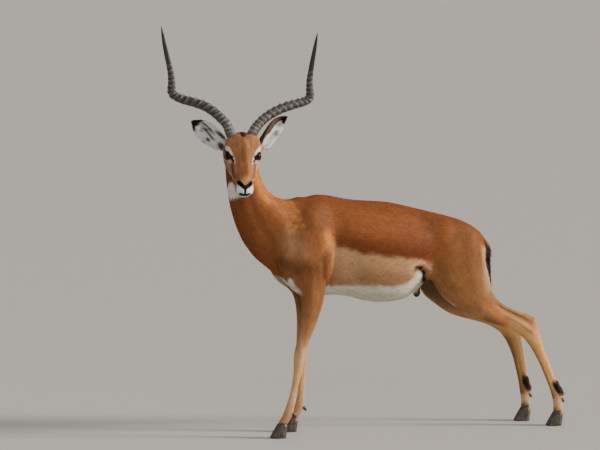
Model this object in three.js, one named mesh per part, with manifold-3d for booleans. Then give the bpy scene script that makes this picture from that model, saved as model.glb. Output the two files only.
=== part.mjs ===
// A life-size impala ram, standing with its forelegs a little forward, its hind legs stretched out
// behind and its head turned to its left. Millimetres: +X runs towards the tail, +Y to the animal's
// right and +Z up, with the soles of the hooves at Z = 0.
// Each fleshy part is a loft of rings. Neighbours are cut clear of each other by a hair's breadth.
import * as THREE from "three";
import { mergeVertices } from "three/addons/utils/BufferGeometryUtils.js";
import Module from "manifold-3d";

const wasm = await Module();
wasm.setup();

// ---- Driving dimensions, mm ----
const withersHeight = 905;
const gap = 0.3; // left between parts that meet
const toOrigin = new THREE.Vector3(-182, 41, 0); // brings the middle of its bounding box over the origin

// Trunk: [distance behind the withers, height or width at it]
const backLine = [[-204, 690], [-188, 752], [-150, 835], [-105, 880], [-50, 899], [0, withersHeight], [66, 893],
  [130, 879], [270, 867], [360, 845], [464, 818], [535, 799], [595, 775], [640, 745], [663, 711], [671, 682]];
const bellyLine = [[-204, 652], [-188, 628], [-138, 579], [-90, 538], [-40, 517], [60, 519],
  [130, 508], [200, 488], [270, 485], [330, 493], [385, 528], [440, 572], [560, 588], [637, 622], [671, 662]];
const trunkHalfWidth = [[-204, 24], [-186, 52], [-138, 78], [-50, 90], [60, 101], [150, 121],
  [250, 130], [330, 127], [400, 116], [480, 106], [560, 96], [628, 74], [671, 26]];
const widestShare = [[-204, 0.5], [0, 0.5], [250, 0.46], [450, 0.56], [671, 0.5]]; // of the depth, from below

// Neck: centre x, y, z, then half sizes to the nape, to the throat and sideways
const neckStations = [
  [-40, 0, 745, 124, 118, 82],
  [-120, 0, 765, 118, 140, 88],
  [-186, 0, 802, 100, 137, 84],
  [-234, 0, 848, 84, 109, 75],
  [-268, 0, 898, 74, 84, 66],
  [-286, 2, 955, 68, 70, 60],
  [-296, 4, 1012, 63, 64, 57],
  [-303, -2, 1062, 58, 57, 54],
  [-308, -22, 1098, 46, 46, 44],
];

// Legs on the left side: centre x, y, z, then half sizes forward, backward and sideways
const foreLeg = [
  [-2, -52, 872, 34, 34, 16],
  [-30, -68, 812, 70, 66, 30],
  [-66, -78, 735, 100, 92, 38],
  [-82, -82, 665, 104, 108, 40],
  [-72, -84, 608, 86, 96, 37],
  [-54, -85, 560, 58, 62, 34],
  [-49, -85, 516, 45, 47, 30],
  [-58, -82, 455, 35, 38, 25],
  [-74, -79, 395, 27, 30, 22],
  [-90, -77, 340, 22, 23, 20],
  [-97, -76, 304, 23, 21, 22],
  [-101, -76, 262, 18, 21, 17.5],
  [-110, -76, 215, 14, 17, 13.5],
  [-125, -75, 150, 13, 16, 13],
  [-138, -75, 100, 17, 21, 18],
  [-152, -75, 72, 14, 17, 16],
  [-166, -75, 48, 18, 19, 20.5],
];
const hindLeg = [
  [548, -58, 772, 66, 62, 26],
  [534, -72, 712, 108, 98, 44],
  [526, -75, 640, 122, 112, 53],
  [540, -77, 575, 114, 109, 52],
  [575, -82, 517, 84, 98, 44],
  [624, -87, 470, 60, 60, 35],
  [682, -88, 432, 42, 45, 27],
  [740, -86, 403, 34, 48, 20],
  [790, -85, 374, 33, 57, 18],
  [820, -85, 345, 32, 37, 20],
  [839, -84, 305, 24, 27, 18],
  [865, -83, 250, 19, 22, 15],
  [891, -82, 188, 18, 21, 14],
  [908, -81, 145, 17, 21, 14.5],
  [920, -80, 112, 18, 24, 19],
  [925, -80, 78, 15, 18, 17],
  [924, -80, 48, 19, 20, 20.5],
];
// The right legs are the mirror image, moved along X by the stride: [height, shift]
const foreStride = [[100, 88], [665, 0]];
const hindStride = [[112, -72], [188, -57], [250, -45], [305, -36], [374, -30], [432, -25], [517, -20], [600, -16], [720, 0]];

// Head: frame at the point midway between the eyes; sections run from the poll to the nose
const eyeCentre = new THREE.Vector3(-318, -90, 1061);
const headTurn = THREE.MathUtils.degToRad(79); // from straight ahead, to the animal's left
const headPitch = THREE.MathUtils.degToRad(42); // nose down
const headRoll = THREE.MathUtils.degToRad(2); // right side up
const headProfiles = {
  top: [[-112, 0], [-98, 27], [-62, 44], [-25, 45], [10, 34], [60, 24], [110, 17], [142, 13], [160, 7], [173, -8]],
  brow: [[-112, 16], [-80, 36], [-45, 48], [-15, 53], [8, 45], [30, 33], [60, 26], [120, 20], [150, 21], [173, 9]],
  browHeight: [[-112, 0], [-90, 22], [-50, 34], [-15, 28], [10, 20], [60, 15], [120, 9], [150, 4], [173, -11]],
  cheek: [[-112, 24], [-80, 54], [-45, 64], [-18, 72], [8, 63], [35, 54], [70, 45], [110, 36], [147, 35], [163, 30], [173, 15]],
  cheekHeight: [[-112, -12], [-60, -14], [-18, -4], [8, -10], [60, -22], [120, -22], [173, -22]],
  jaw: [[-112, 18], [-80, 46], [-45, 54], [0, 50], [50, 39], [100, 29], [142, 27], [162, 21], [173, 10]],
  jawHeight: [[-112, -30], [-80, -68], [-45, -82], [0, -78], [50, -63], [100, -52], [142, -49], [162, -41], [173, -28]],
  bottom: [[-112, -36], [-80, -92], [-45, -106], [0, -96], [50, -79], [100, -67], [137, -65], [158, -57], [173, -36]],
};
const eyeRadius = 17.5;
const eyeSeat = [2, 2, 50.5]; // forward, up, sideways of the middle of the head

// Ears: seat and tip as forward, up, sideways in the level frame of the head, and where the cup opens
const earThickness = 5;
const earHalfWidth = [[0, 16], [0.2, 30], [0.5, 39], [0.72, 35], [0.9, 18], [1, 4]];
const earWrap = [[0, 2.2], [0.25, 1.5], [0.6, 1.0], [1, 0.7]]; // half angle of the cup, radians
const ears = {
  right: { seat: [-62, 28, 60], tip: [-52, 121, 190], opens: [1, -0.12, 0.1] },
  left: { seat: [-62, 36, -60], tip: [-80, 146, -166], opens: [0.76, -0.4, -0.52] },
};

// Horns: the line of each as forward, up, sideways in the level frame, then radius along it
const hornLines = {
  right: [[-18, 52, 30], [-24, 80, 46], [-48, 153, 105], [-88, 189, 176], [-132, 208, 244], [-150, 240, 262],
    [-144, 296, 268], [-119, 384, 293], [-100, 465, 309]],
  left: [[-18, 54, -22], [-24, 83, -36], [-48, 140, -86], [-88, 177, -160], [-134, 196, -244], [-150, 232, -258],
    [-144, 290, -258], [-120, 378, -266], [-100, 453, -272]],
};
const hornRadius = [[0, 25], [0.12, 24], [0.4, 21.5], [0.55, 19], [0.68, 13.5], [0.82, 9], [0.94, 4.5], [1, 1.2]];
const ringCount = 16;
const ringedShare = 0.74; // of the length
const ringHeight = 2.4;

const tailStations = [
  [645, 0, 710, 15, 13, 17],
  [666, 0, 688, 13, 12, 19],
  [669, 0, 640, 12, 11, 25],
  [668, 0, 560, 11, 11, 29],
  [667, 0, 480, 10, 11, 30],
  [665, 0, 415, 7, 7, 16],
];
const scrotumCentre = new THREE.Vector3(389, 0, 520);
const scrotumRadii = [18, 17, 27];

// Hooves: each claw's half sizes at heights above the ground: [z, forward, backward, sideways, x shift]
const clawRings = [[0, 37, 21, 9.5, -7], [4, 37, 22, 10.8, -7], [24, 28, 22, 10.8, -4], [42, 20, 20, 10, 0], [54, 14, 14, 8, 2]];
const clawOffset = 12.2;

// ---- Making lofts ----
// A smooth curve of one value through [position, value] pairs.
function profile(pairs) {
  const last = pairs.length - 1;
  const slope = pairs.map((_, i) => {
    const [a, b] = [pairs[Math.max(i - 1, 0)], pairs[Math.min(i + 1, last)]];
    return (b[1] - a[1]) / (b[0] - a[0]);
  });
  return (x) => {
    const i = THREE.MathUtils.clamp(pairs.findIndex(([p]) => p > x) - 1, x >= pairs[last][0] ? last - 1 : 0, last - 1);
    const [[x0, v0], [x1, v1]] = [pairs[i], pairs[i + 1]];
    const width = x1 - x0;
    const t = THREE.MathUtils.clamp((x - x0) / width, 0, 1);
    const [t2, t3] = [t * t, t * t * t];
    return (2 * t3 - 3 * t2 + 1) * v0 + (3 * t2 - 2 * t3) * v1
      + width * ((t3 - 2 * t2 + t) * slope[i] + (t3 - t2) * slope[i + 1]);
  };
}

// Joins rings of equally many points into a solid with a flat fan at each end.
function loft(rings) {
  const around = rings[0].length;
  const points = rings.flat();
  const faces = [];
  for (let r = 0; r < rings.length - 1; r++) {
    for (let j = 0; j < around; j++) {
      const [a, b] = [r * around + j, r * around + ((j + 1) % around)];
      faces.push([a, b, b + around], [a, b + around, a + around]);
    }
  }
  for (const [ring, start, turn] of [[rings[0], 0, -1], [rings.at(-1), points.length - around, 1]]) {
    const centre = ring.reduce((sum, p) => sum.add(p), new THREE.Vector3()).divideScalar(around);
    const hub = points.push(centre) - 1;
    for (let j = 0; j < around; j++) {
      const [a, b] = [start + j, start + ((j + 1) % around)];
      faces.push(turn > 0 ? [a, b, hub] : [b, a, hub]);
    }
  }
  return outward(points, faces);
}

// A geometry of these points and faces, turned so that its faces point out.
function outward(points, faces) {
  const volume = faces.reduce((sum, [a, b, c]) =>
    sum + points[a].dot(new THREE.Vector3().crossVectors(points[b], points[c])), 0);
  const index = faces.flatMap(([a, b, c]) => (volume < 0 ? [a, c, b] : [a, b, c]));
  const geometry = new THREE.BufferGeometry().setFromPoints(points);
  geometry.setIndex(index);
  return geometry;
}

// The ring round a centre: half sizes to the front, to the back and sideways along the given axes.
function ring(centre, backAxis, sideAxis, [front, back, side], around, grow = 0) {
  return Array.from({ length: around }, (_, j) => {
    const angle = (2 * Math.PI * (j + 0.5)) / around;
    const depth = (Math.sin(angle) > 0 ? back : front) + grow;
    return centre.clone()
      .addScaledVector(backAxis, depth * Math.sin(angle))
      .addScaledVector(sideAxis, (side + grow) * Math.cos(angle));
  });
}

// A limb through its stations, from one station number to another, with the given number of rings.
function limb(stations, { from = 0, to = stations.length - 1, rings = 8, around = 12, grow = 0 } = {}) {
  const path = new THREE.CatmullRomCurve3(stations.map(([x, y, z]) => new THREE.Vector3(x, y, z)), false, "catmullrom", 0.5);
  const sizes = new THREE.CatmullRomCurve3(stations.map(([, , , f, b, s]) => new THREE.Vector3(f, b, s)), false, "catmullrom", 0.5);
  const last = stations.length - 1;
  return loft(Array.from({ length: rings }, (_, i) => {
    const share = i / (rings - 1);
    const t = (from + (to - from) * share) / last;
    const tangent = path.getTangent(t);
    const backAxis = new THREE.Vector3().crossVectors(tangent, new THREE.Vector3(0, 1, 0)).normalize();
    const sideAxis = new THREE.Vector3().crossVectors(backAxis, tangent).normalize();
    const inset = i === 0 ? gap / 2 : i === rings - 1 ? -gap / 2 : 0;
    const centre = path.getPoint(t).addScaledVector(tangent, grow ? -Math.sign(inset) * grow : inset);
    return ring(centre, backAxis, sideAxis, sizes.getPoint(t).toArray(), around, grow);
  }));
}

// ---- Cutting and joining ----
function solid(geometry) {
  const bare = geometry.clone();
  for (const name of Object.keys(bare.attributes)) {
    if (name !== "position") bare.deleteAttribute(name);
  }
  const merged = mergeVertices(bare, 1e-3);
  return new wasm.Manifold(new wasm.Mesh({
    numProp: 3,
    vertProperties: merged.attributes.position.array,
    triVerts: new Uint32Array(merged.index.array),
  }));
}

function geometryOf(manifold) {
  const mesh = manifold.getMesh();
  const geometry = new THREE.BufferGeometry();
  geometry.setAttribute("position", new THREE.BufferAttribute(new Float32Array(mesh.vertProperties), 3));
  geometry.setIndex([...mesh.triVerts]);
  return geometry;
}

// The largest piece of a body once the others are cut from it.
function cut(body, others) {
  const pieces = others.reduce((left, other) => left.subtract(other), body).decompose();
  return pieces.reduce((best, piece) => (piece.volume() > best.volume() ? piece : best));
}

// ---- The parts ----
function trunk(grow = 0) {
  const [back, belly, width, widest] = [backLine, bellyLine, trunkHalfWidth, widestShare].map(profile);
  const [start, end] = [backLine[0][0], backLine.at(-1)[0]];
  const around = 24;
  const count = 24;
  return loft(Array.from({ length: count }, (_, i) => {
    const share = i / (count - 1);
    const x = start + (end - start) * share;
    const [top, bottom] = [back(x) + grow, belly(x) - grow];
    const middle = bottom + (top - bottom) * widest(x);
    const centre = new THREE.Vector3(x + (i === 0 ? -grow : i === count - 1 ? grow : 0), 0, middle);
    const sizes = [middle - bottom, top - middle, width(x) + grow];
    return ring(centre, new THREE.Vector3(0, 0, 1), new THREE.Vector3(0, 1, 0), sizes, around);
  }));
}

// The stations of a leg: those given for the left, or their mirror image moved by the stride.
function legStations(stations, side, stride) {
  if (side === "left") return stations;
  const shift = profile(stride);
  return stations.map(([x, y, z, ...sizes]) => [x + shift(z), -y, z, ...sizes]);
}

// Frames of the head: the tilted one of the skull, and a level one that only follows its turn.
const ahead = new THREE.Vector3(-Math.cos(headTurn), -Math.sin(headTurn), 0);
const up = new THREE.Vector3(0, 0, 1);
const toRight = new THREE.Vector3().crossVectors(ahead, up).normalize();
const rolledRight = toRight.clone().multiplyScalar(Math.cos(headRoll)).addScaledVector(up, Math.sin(headRoll));
const rolledUp = up.clone().multiplyScalar(Math.cos(headRoll)).addScaledVector(toRight, -Math.sin(headRoll));
const muzzleAxis = ahead.clone().multiplyScalar(Math.cos(headPitch)).addScaledVector(rolledUp, -Math.sin(headPitch));
const faceAxis = ahead.clone().multiplyScalar(Math.sin(headPitch)).addScaledVector(rolledUp, Math.cos(headPitch));
const skullFrame = new THREE.Matrix4().makeBasis(muzzleAxis, faceAxis, rolledRight).setPosition(eyeCentre);
const levelFrame = new THREE.Matrix4().makeBasis(ahead, rolledUp, rolledRight).setPosition(eyeCentre);
const inFrame = (frame, [x, y, z]) => new THREE.Vector3(x, y, z).applyMatrix4(frame);

function head(grow = 0) {
  const p = Object.fromEntries(Object.entries(headProfiles).map(([name, pairs]) => [name, profile(pairs)]));
  const [start, end] = [headProfiles.top[0][0], headProfiles.top.at(-1)[0]];
  const around = 20;
  const count = 21;
  return loft(Array.from({ length: count }, (_, i) => {
    const share = i / (count - 1);
    const d = start + (end - start) * (share + 0.06 * Math.sin(2 * Math.PI * share) * -1);
    const half = [[p.brow(d), p.browHeight(d)], [p.cheek(d), p.cheekHeight(d)], [p.jaw(d), p.jawHeight(d)]];
    const outline = [[0, p.top(d)], ...half, [0, p.bottom(d)], ...half.toReversed().map(([w, h]) => [-w, h])];
    const section = new THREE.CatmullRomCurve3(outline.map(([w, h]) => new THREE.Vector3(d, h, w)), true, "catmullrom", 0.5);
    const middle = new THREE.Vector3(d, (p.top(d) + p.bottom(d)) / 2, 0);
    return Array.from({ length: around }, (_, j) => {
      const point = section.getPoint((j + 0.5) / around);
      const away = point.clone().sub(middle).normalize();
      return point.addScaledVector(away, grow).applyMatrix4(skullFrame);
    });
  }));
}

// A curled leaf: a box whose length runs up the ear, whose width is wrapped round the cup.
function ear({ seat, tip, opens }) {
  const [width, wrap] = [profile(earHalfWidth), profile(earWrap)];
  const [base, end] = [inFrame(levelFrame, seat), inFrame(levelFrame, tip)];
  const along = end.clone().sub(base);
  const axis = along.clone().normalize();
  const open = new THREE.Vector3(...opens).transformDirection(levelFrame);
  open.addScaledVector(axis, -open.dot(axis)).normalize();
  const across = new THREE.Vector3().crossVectors(axis, open);
  const box = new THREE.BoxGeometry(2, 1, 1, 6, 1, 7);
  const position = box.attributes.position;
  for (let i = 0; i < position.count; i++) {
    const share = position.getZ(i) + 0.5;
    const halfAngle = wrap(share);
    const radius = width(share) / Math.max(Math.sin(Math.min(halfAngle, Math.PI / 2)), 0.3);
    const rim = 1 - 0.35 * Math.abs(position.getX(i)) ** 3; // the wall thins towards its edge
    const reach = radius + earThickness * rim * (position.getY(i) < 0 ? 0.5 : -0.5);
    const angle = position.getX(i) * halfAngle;
    const point = base.clone()
      .addScaledVector(along, share)
      .addScaledVector(across, reach * Math.sin(angle))
      .addScaledVector(open, radius * 0.45 - reach * Math.cos(angle) + 10);
    position.setXYZ(i, ...point.toArray());
  }
  for (const name of ["normal", "uv"]) box.deleteAttribute(name);
  const merged = mergeVertices(box, 1e-3);
  const points = Array.from({ length: merged.attributes.position.count }, (_, i) =>
    new THREE.Vector3().fromBufferAttribute(merged.attributes.position, i));
  const index = merged.index.array;
  return outward(points, Array.from({ length: index.length / 3 }, (_, i) => [...index.slice(3 * i, 3 * i + 3)]));
}

// A ringed horn along its line.
function horn(side) {
  const line = new THREE.CatmullRomCurve3(hornLines[side].map((point) => inFrame(levelFrame, point)));
  const radius = profile(hornRadius);
  const around = 7;
  const stops = [];
  for (let k = 0; k < ringCount; k++) {
    const [start, next] = [k, k + 1].map((n) => ringedShare * (n / ringCount) ** 1.08);
    stops.push([start, 0], [start + (next - start) * 0.62, 1]);
  }
  for (const share of [0.75, 0.8, 0.86, 0.92, 0.97, 1]) stops.push([share, 0]);
  return loft(stops.map(([share, ridge]) => {
    const tangent = line.getTangentAt(share);
    const sideAxis = new THREE.Vector3().crossVectors(tangent, ahead).normalize();
    const backAxis = new THREE.Vector3().crossVectors(sideAxis, tangent).normalize();
    const size = radius(share) + ridge * ringHeight * (1 - share * 0.5);
    return ring(line.getPointAt(share), backAxis, sideAxis, [size, size, size * 0.92], around);
  }));
}

function eye(side, grow = 0) {
  const [f, u, w] = eyeSeat;
  const ball = new THREE.SphereGeometry(eyeRadius + grow, 10, 7);
  const centre = inFrame(skullFrame, [f, u, w * side]);
  return ball.translate(...centre.toArray());
}

function claw(x, y, grow = 0) {
  return loft(clawRings.map(([z, front, back, side, shift], i) => {
    const centre = new THREE.Vector3(x + shift, y, z + (i === clawRings.length - 1 ? grow : 0));
    return ring(centre, new THREE.Vector3(1, 0, 0), new THREE.Vector3(0, 1, 0), [front, back, side], 8, grow);
  }));
}

function dewClaw(x, y, z, side) {
  const stations = [[x - 5, y, z + 6, 6, 6, 6], [x + 2, y, z, 6, 6, 6], [x + 6, y + side * 2, z - 10, 3, 3, 3]];
  return limb(stations, { rings: 3, around: 5 });
}

// ---- Finishes ----
const finish = (color, roughness) => new THREE.MeshStandardMaterial({ color, roughness, metalness: 0 });
const rufous = finish(0x8a5230, 0.75);
const tan = finish(0xb98a5e, 0.78);
const white = finish(0xd8d2c4, 0.8);
const sooty = finish(0x2a1f19, 0.7);
const hornBrown = finish(0x4a4038, 0.55);
const hoofBlack = finish(0x201c1a, 0.45);
const eyeDark = finish(0x140d09, 0.08);

// A named mesh whose geometry is centred on its own place.
function place(group, name, body, material) {
  const geometry = body.isBufferGeometry ? body : geometryOf(body);
  geometry.computeBoundingBox();
  const centre = geometry.boundingBox.getCenter(new THREE.Vector3()).round();
  geometry.translate(-centre.x, -centre.y, -centre.z);
  const mesh = new THREE.Mesh(geometry, material);
  mesh.name = name;
  mesh.position.copy(centre);
  group.add(mesh);
}

// ---- The animal ----
const impala = new THREE.Group();
const headGroup = new THREE.Group();
impala.add(headGroup);

const trunkClear = solid(trunk(gap));
const headClear = solid(head(gap));
const neckShape = { rings: 11, around: 18 };
const neckClear = solid(limb(neckStations, { ...neckShape, grow: gap }));
place(impala, "trunk", trunk(), rufous);
place(impala, "neck", cut(solid(limb(neckStations, neckShape)), [trunkClear, headClear]), rufous);

const sides = { right: 1, left: -1 };
const eyesClear = Object.values(sides).map((side) => solid(eye(side, gap)));
place(headGroup, "head", cut(solid(head()), eyesClear), rufous);
for (const [name, side] of Object.entries(sides)) {
  place(headGroup, `eye_${name}`, eye(side), eyeDark);
  place(headGroup, `horn_${name}`, cut(solid(horn(name)), [headClear]), hornBrown);
  place(headGroup, `ear_${name}`, cut(solid(ear(ears[name])), [headClear, neckClear]), white);
}

// Each leg is parted at the elbow or stifle, the knee or hock, and the fetlock.
const legPlans = {
  foreleg: {
    stations: foreLeg, stride: foreStride,
    parts: [["shoulder", 0, 5, 8, 14, rufous], ["forearm", 5, 10, 8, 12, tan], ["cannon", 10, 13.6, 7, 8, tan], ["pastern", 13.6, 16, 4, 8, tan]],
  },
  hindleg: {
    stations: hindLeg, stride: hindStride,
    parts: [["thigh", 0, 4.6, 8, 14, rufous], ["gaskin", 4.6, 9, 8, 12, tan], ["cannon", 9, 13.6, 8, 8, tan], ["pastern", 13.6, 16, 4, 8, tan]],
  },
};
const thighsClear = [];
for (const [leg, { stations, stride, parts }] of Object.entries(legPlans)) {
  for (const [name, side] of Object.entries(sides)) {
    const own = legStations(stations, name, stride);
    const [footX, footY] = own.at(-1);
    const claws = [-1, 1].map((half) => [half, footX, footY + half * clawOffset]);
    const clawsClear = claws.map(([, x, y]) => solid(claw(x, y, gap)));
    for (const [part, from, to, rings, around, material] of parts) {
      const shape = { from, to, rings, around };
      const body = cut(solid(limb(own, shape)), [trunkClear, neckClear, ...clawsClear]);
      place(impala, `${leg}_${name}_${part}`, body, material);
      if (part === "thigh") thighsClear.push(solid(limb(own, { ...shape, grow: gap })));
    }
    const [fetlockX, fetlockY, fetlockZ, , fetlockBack] = own.at(-3);
    for (const [half, x, y] of claws) {
      const which = half * side > 0 ? "outer" : "inner";
      place(impala, `${leg}_${name}_hoof_${which}`, claw(x, y), hoofBlack);
      const dew = dewClaw(fetlockX + fetlockBack - 2, fetlockY + half * 9, fetlockZ - 14, half);
      const pastern = solid(limb(own, { from: 13.6, to: 16, rings: 4, around: 8, grow: gap }));
      place(impala, `${leg}_${name}_dewclaw_${which}`, cut(solid(dew), [pastern]), hoofBlack);
    }
  }
}

place(impala, "tail", cut(solid(limb(tailStations, { rings: 8, around: 8 })), [trunkClear, ...thighsClear]), white);
const scrotum = new THREE.SphereGeometry(1, 8, 5).scale(...scrotumRadii).translate(...scrotumCentre.toArray());
place(impala, "scrotum", cut(solid(scrotum), [trunkClear, ...thighsClear]), sooty);

impala.position.copy(toOrigin);
export default impala;
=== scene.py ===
import bpy
import math
import numpy as np
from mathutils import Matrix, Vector
from mathutils.bvhtree import BVHTree


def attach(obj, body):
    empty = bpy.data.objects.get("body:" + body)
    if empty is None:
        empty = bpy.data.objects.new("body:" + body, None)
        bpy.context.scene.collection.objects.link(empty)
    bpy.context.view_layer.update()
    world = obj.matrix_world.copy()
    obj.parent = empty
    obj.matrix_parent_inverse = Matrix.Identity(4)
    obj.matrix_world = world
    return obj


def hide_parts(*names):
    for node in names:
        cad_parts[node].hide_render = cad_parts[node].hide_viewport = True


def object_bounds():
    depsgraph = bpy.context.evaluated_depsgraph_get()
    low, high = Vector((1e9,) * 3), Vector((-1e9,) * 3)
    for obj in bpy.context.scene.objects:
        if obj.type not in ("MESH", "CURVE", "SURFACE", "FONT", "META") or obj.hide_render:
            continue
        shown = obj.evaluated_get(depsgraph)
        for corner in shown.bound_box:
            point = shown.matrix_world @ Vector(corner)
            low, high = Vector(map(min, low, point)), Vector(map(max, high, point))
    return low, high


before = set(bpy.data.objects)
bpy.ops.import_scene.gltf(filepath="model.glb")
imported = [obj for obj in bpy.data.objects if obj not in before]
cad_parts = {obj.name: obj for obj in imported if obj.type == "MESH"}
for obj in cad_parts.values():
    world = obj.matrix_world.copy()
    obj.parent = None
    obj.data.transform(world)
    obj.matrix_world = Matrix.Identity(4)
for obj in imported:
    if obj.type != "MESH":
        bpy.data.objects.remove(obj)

cad_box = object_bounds()

# ---- The hide ----
# One skin over the whole animal, from the muzzle to the fetlocks. It is made by welding the fleshy
# solids together, rounding them off, and drawing them in by the depth of the coat that covers them.
withers = np.array([-182.0, 41.0, 0.0])  # mm, from the origin to the point under the withers
weld_grain = 0.0027
# For each kind of part: how far it is rounded off, and the depth of its coat in mm
hide = {"trunk": (0.5, 3.2), "neck": (0.45, 3.6), "shoulder": (0.34, 2.8), "thigh": (0.4, 3.0),
        "head": (0.16, 1.4), "gaskin": (0.16, 2.0), "forearm": (0.14, 1.8), "cannon": (0.12, 1.3),
        "pastern": (0.1, 1.3), "ear": (0.035, 0.5), "tail": (0.2, 4.0), "scrotum": (0.2, 0.6)}
rounds = 75
body_triangles = 118000

flesh = sorted(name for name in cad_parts
               if not name.startswith(("eye_", "horn_")) and "claw" not in name and "hoof" not in name)
kinds = list(hide)


def put_in(name, data):
    """Puts a mesh, lamp or camera into the scene."""
    piece = bpy.data.objects.new(name, data)
    bpy.context.scene.collection.objects.link(piece)
    return piece


corners, faces, owner = [], [], []
bpy.ops.object.select_all(action="DESELECT")
for name in flesh + ["eye_left", "eye_right"]:  # the eyes fill their sockets, which the lids are cut from
    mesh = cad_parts[name].data
    start = len(corners)
    corners += [v.co.copy() for v in mesh.vertices]
    faces += [[start + v for v in p.vertices] for p in mesh.polygons]
    owner += [next((i for i, kind in enumerate(kinds) if kind in name),
                   kinds.index("head"))] * len(mesh.polygons)
    lump = put_in(f"lump_{name}", mesh.copy())
    lump.data.materials.clear()
    lump.select_set(True)
    bpy.context.view_layer.objects.active = lump
bpy.ops.object.join()
skin = bpy.context.object
skin.name = "skin"


def edit(action="SELECT"):
    """Goes into the active piece, with all of it selected or nothing."""
    bpy.ops.object.mode_set(mode="EDIT")
    bpy.ops.mesh.select_all(action=action)


def leave():
    bpy.ops.object.mode_set(mode="OBJECT")


def weld(piece, grain):
    """Merges the loose faces of the one active piece and welds them into an even surface."""
    edit()
    bpy.ops.mesh.remove_doubles(threshold=0.00001)
    leave()
    even = piece.modifiers.new("even", "REMESH")
    even.mode = "VOXEL"
    even.voxel_size = grain
    bpy.ops.object.modifier_apply(modifier=even.name)


weld(skin, weld_grain)


def read(items, what, size, kind=float):
    """What each of a mesh's points, edges, faces or loops has, one row for each."""
    flat = np.empty(len(items) * size, kind)
    items.foreach_get(what, flat)
    return flat.reshape(-1, size)


def places(mesh):
    """The mesh's points in mm, measured from under the withers."""
    return read(mesh.vertices, "co", 3) * 1000 - withers


def settle(mesh, points):
    """Moves the mesh's points to these places."""
    mesh.vertices.foreach_set("co", ((points + withers) / 1000).ravel())
    mesh.update()


def outwards(mesh):
    return read(mesh.vertex_normals, "vector", 3)


def relax(values, pairs, share, rounds):
    """Draws each point's values towards the average of its neighbours'."""
    a, b = pairs.T
    size = len(values)
    count = np.maximum(np.bincount(a, minlength=size) + np.bincount(b, minlength=size), 1)[:, None]
    for _ in range(rounds):
        total = np.stack([np.bincount(a, values[b, k], size) + np.bincount(b, values[a, k], size)
                          for k in range(values.shape[1])], 1)
        values = values + share * (total / count - values)
    return values


def pairs_of(mesh):
    return read(mesh.edges, "vertices", 2, int)


body = BVHTree.FromPolygons(corners, faces)


def kind_shares(mesh, rounds):
    """How much each point of the mesh belongs to each kind of body part, softened at the borders."""
    kind = [owner[body.find_nearest(v.co)[2]] for v in mesh.vertices]
    return relax(np.eye(len(kinds))[kind], pairs_of(mesh), 0.5, rounds)


def by_kind(share, table):
    """For each point, the numbers of a table with one row for each kind of part, mixed."""
    return [share @ np.array([table[kind][i] for kind in kinds]) for i in range(len(table["trunk"]))]


share = kind_shares(skin.data, 14)
rounding, coat_depth = by_kind(share, hide)
points = relax(places(skin.data), pairs_of(skin.data), rounding[:, None], rounds)
settle(skin.data, points)
points = points - outwards(skin.data) * coat_depth[:, None]
settle(skin.data, points)

# The head's own directions: forward along the muzzle, out of the face, and to its right
eye_middle = np.array([-318.0, -90.0, 1061.0])
heading, pitch, roll = math.radians(79), math.radians(42), math.radians(2)
ahead = np.array([-math.cos(heading), -math.sin(heading), 0])
to_right = np.cross(ahead, [0, 0, 1])
crown = np.array([0, 0, math.cos(roll)]) - to_right * math.sin(roll)
to_right = to_right * math.cos(roll) + np.array([0, 0, math.sin(roll)])
along_muzzle = ahead * math.cos(pitch) - crown * math.sin(pitch)
out_of_face = ahead * math.sin(pitch) + crown * math.cos(pitch)
skull = np.array([along_muzzle, out_of_face, to_right])
level = np.array([ahead, crown, to_right])


def skull_view(points):
    """Places as forward, up and sideways of the point between the eyes."""
    return (points - eye_middle) @ skull.T


def face_view(points):
    """Places as seen from straight in front: how far to the side, and how far below the eyes."""
    forward, up, sideways = skull_view(points).T
    lean = math.radians(49)
    return np.stack([np.abs(sideways), forward * math.sin(lean) - up * math.cos(lean)], 1)


def thin(chosen, triangles):
    """Brings the skin to this many triangles by leaving out points among the chosen ones."""
    group = skin.vertex_groups.new(name="thinned")
    group.add([int(i) for i in np.nonzero(chosen)[0]], 1.0, "REPLACE")
    fewer = skin.modifiers.new("fewer", "DECIMATE")
    fewer.vertex_group = "thinned"
    fewer.ratio = triangles / sum(len(face.vertices) - 2 for face in skin.data.polygons)
    bpy.ops.object.modifier_apply(modifier=fewer.name)
    skin.vertex_groups.clear()


# The body is thinned, and the face is made finer for the lids, nostrils and lips
forward, up, sideways = skull_view(places(skin.data)).T
thin((np.abs(forward) >= 260) | (np.abs(up) >= 200) | (points[:, 2] <= 900), body_triangles)

# Where the shoulders, thighs and neck run into the trunk, their edges are worked in without loss of bulk
pairs = pairs_of(skin.data)
big = kind_shares(skin.data, 45)[:, :4]  # trunk, neck, shoulder and thigh
joining = np.clip(2.6 * (big.sum(axis=1) ** 2 - (big ** 2).sum(axis=1)), 0, 1)[:, None]
points = places(skin.data)
worked = relax(points, pairs, 0.5 * joining, 110)
worked = worked + relax(points - worked, pairs, 0.5, 130) * joining
settle(skin.data, worked)


def split_where(test):
    """Cuts each face whose middle passes the test into four."""
    chosen = test(read(skin.data.polygons, "center", 3) * 1000 - withers)
    edit("DESELECT")
    bpy.ops.mesh.select_mode(type="FACE")
    leave()
    skin.data.polygons.foreach_set("select", chosen)
    bpy.ops.object.mode_set(mode="EDIT")
    bpy.ops.mesh.subdivide(number_cuts=1)
    leave()


def on_face(points):
    forward, up, sideways = skull_view(points).T
    return ((forward > -52) & (forward < 190) & (np.abs(sideways) < 75) & (np.abs(up) < 110)
            & (points[:, 2] > 880))


def at_eyes_or_nose(points):
    forward, up, sideways = skull_view(points).T
    eye = np.hypot(np.hypot(forward - 2, up - 2), np.abs(sideways) - 56) < 27
    nose = (forward > 132) & (np.abs(sideways) < 34) & (up > -52)
    return on_face(points) & (eye | nose)


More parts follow.
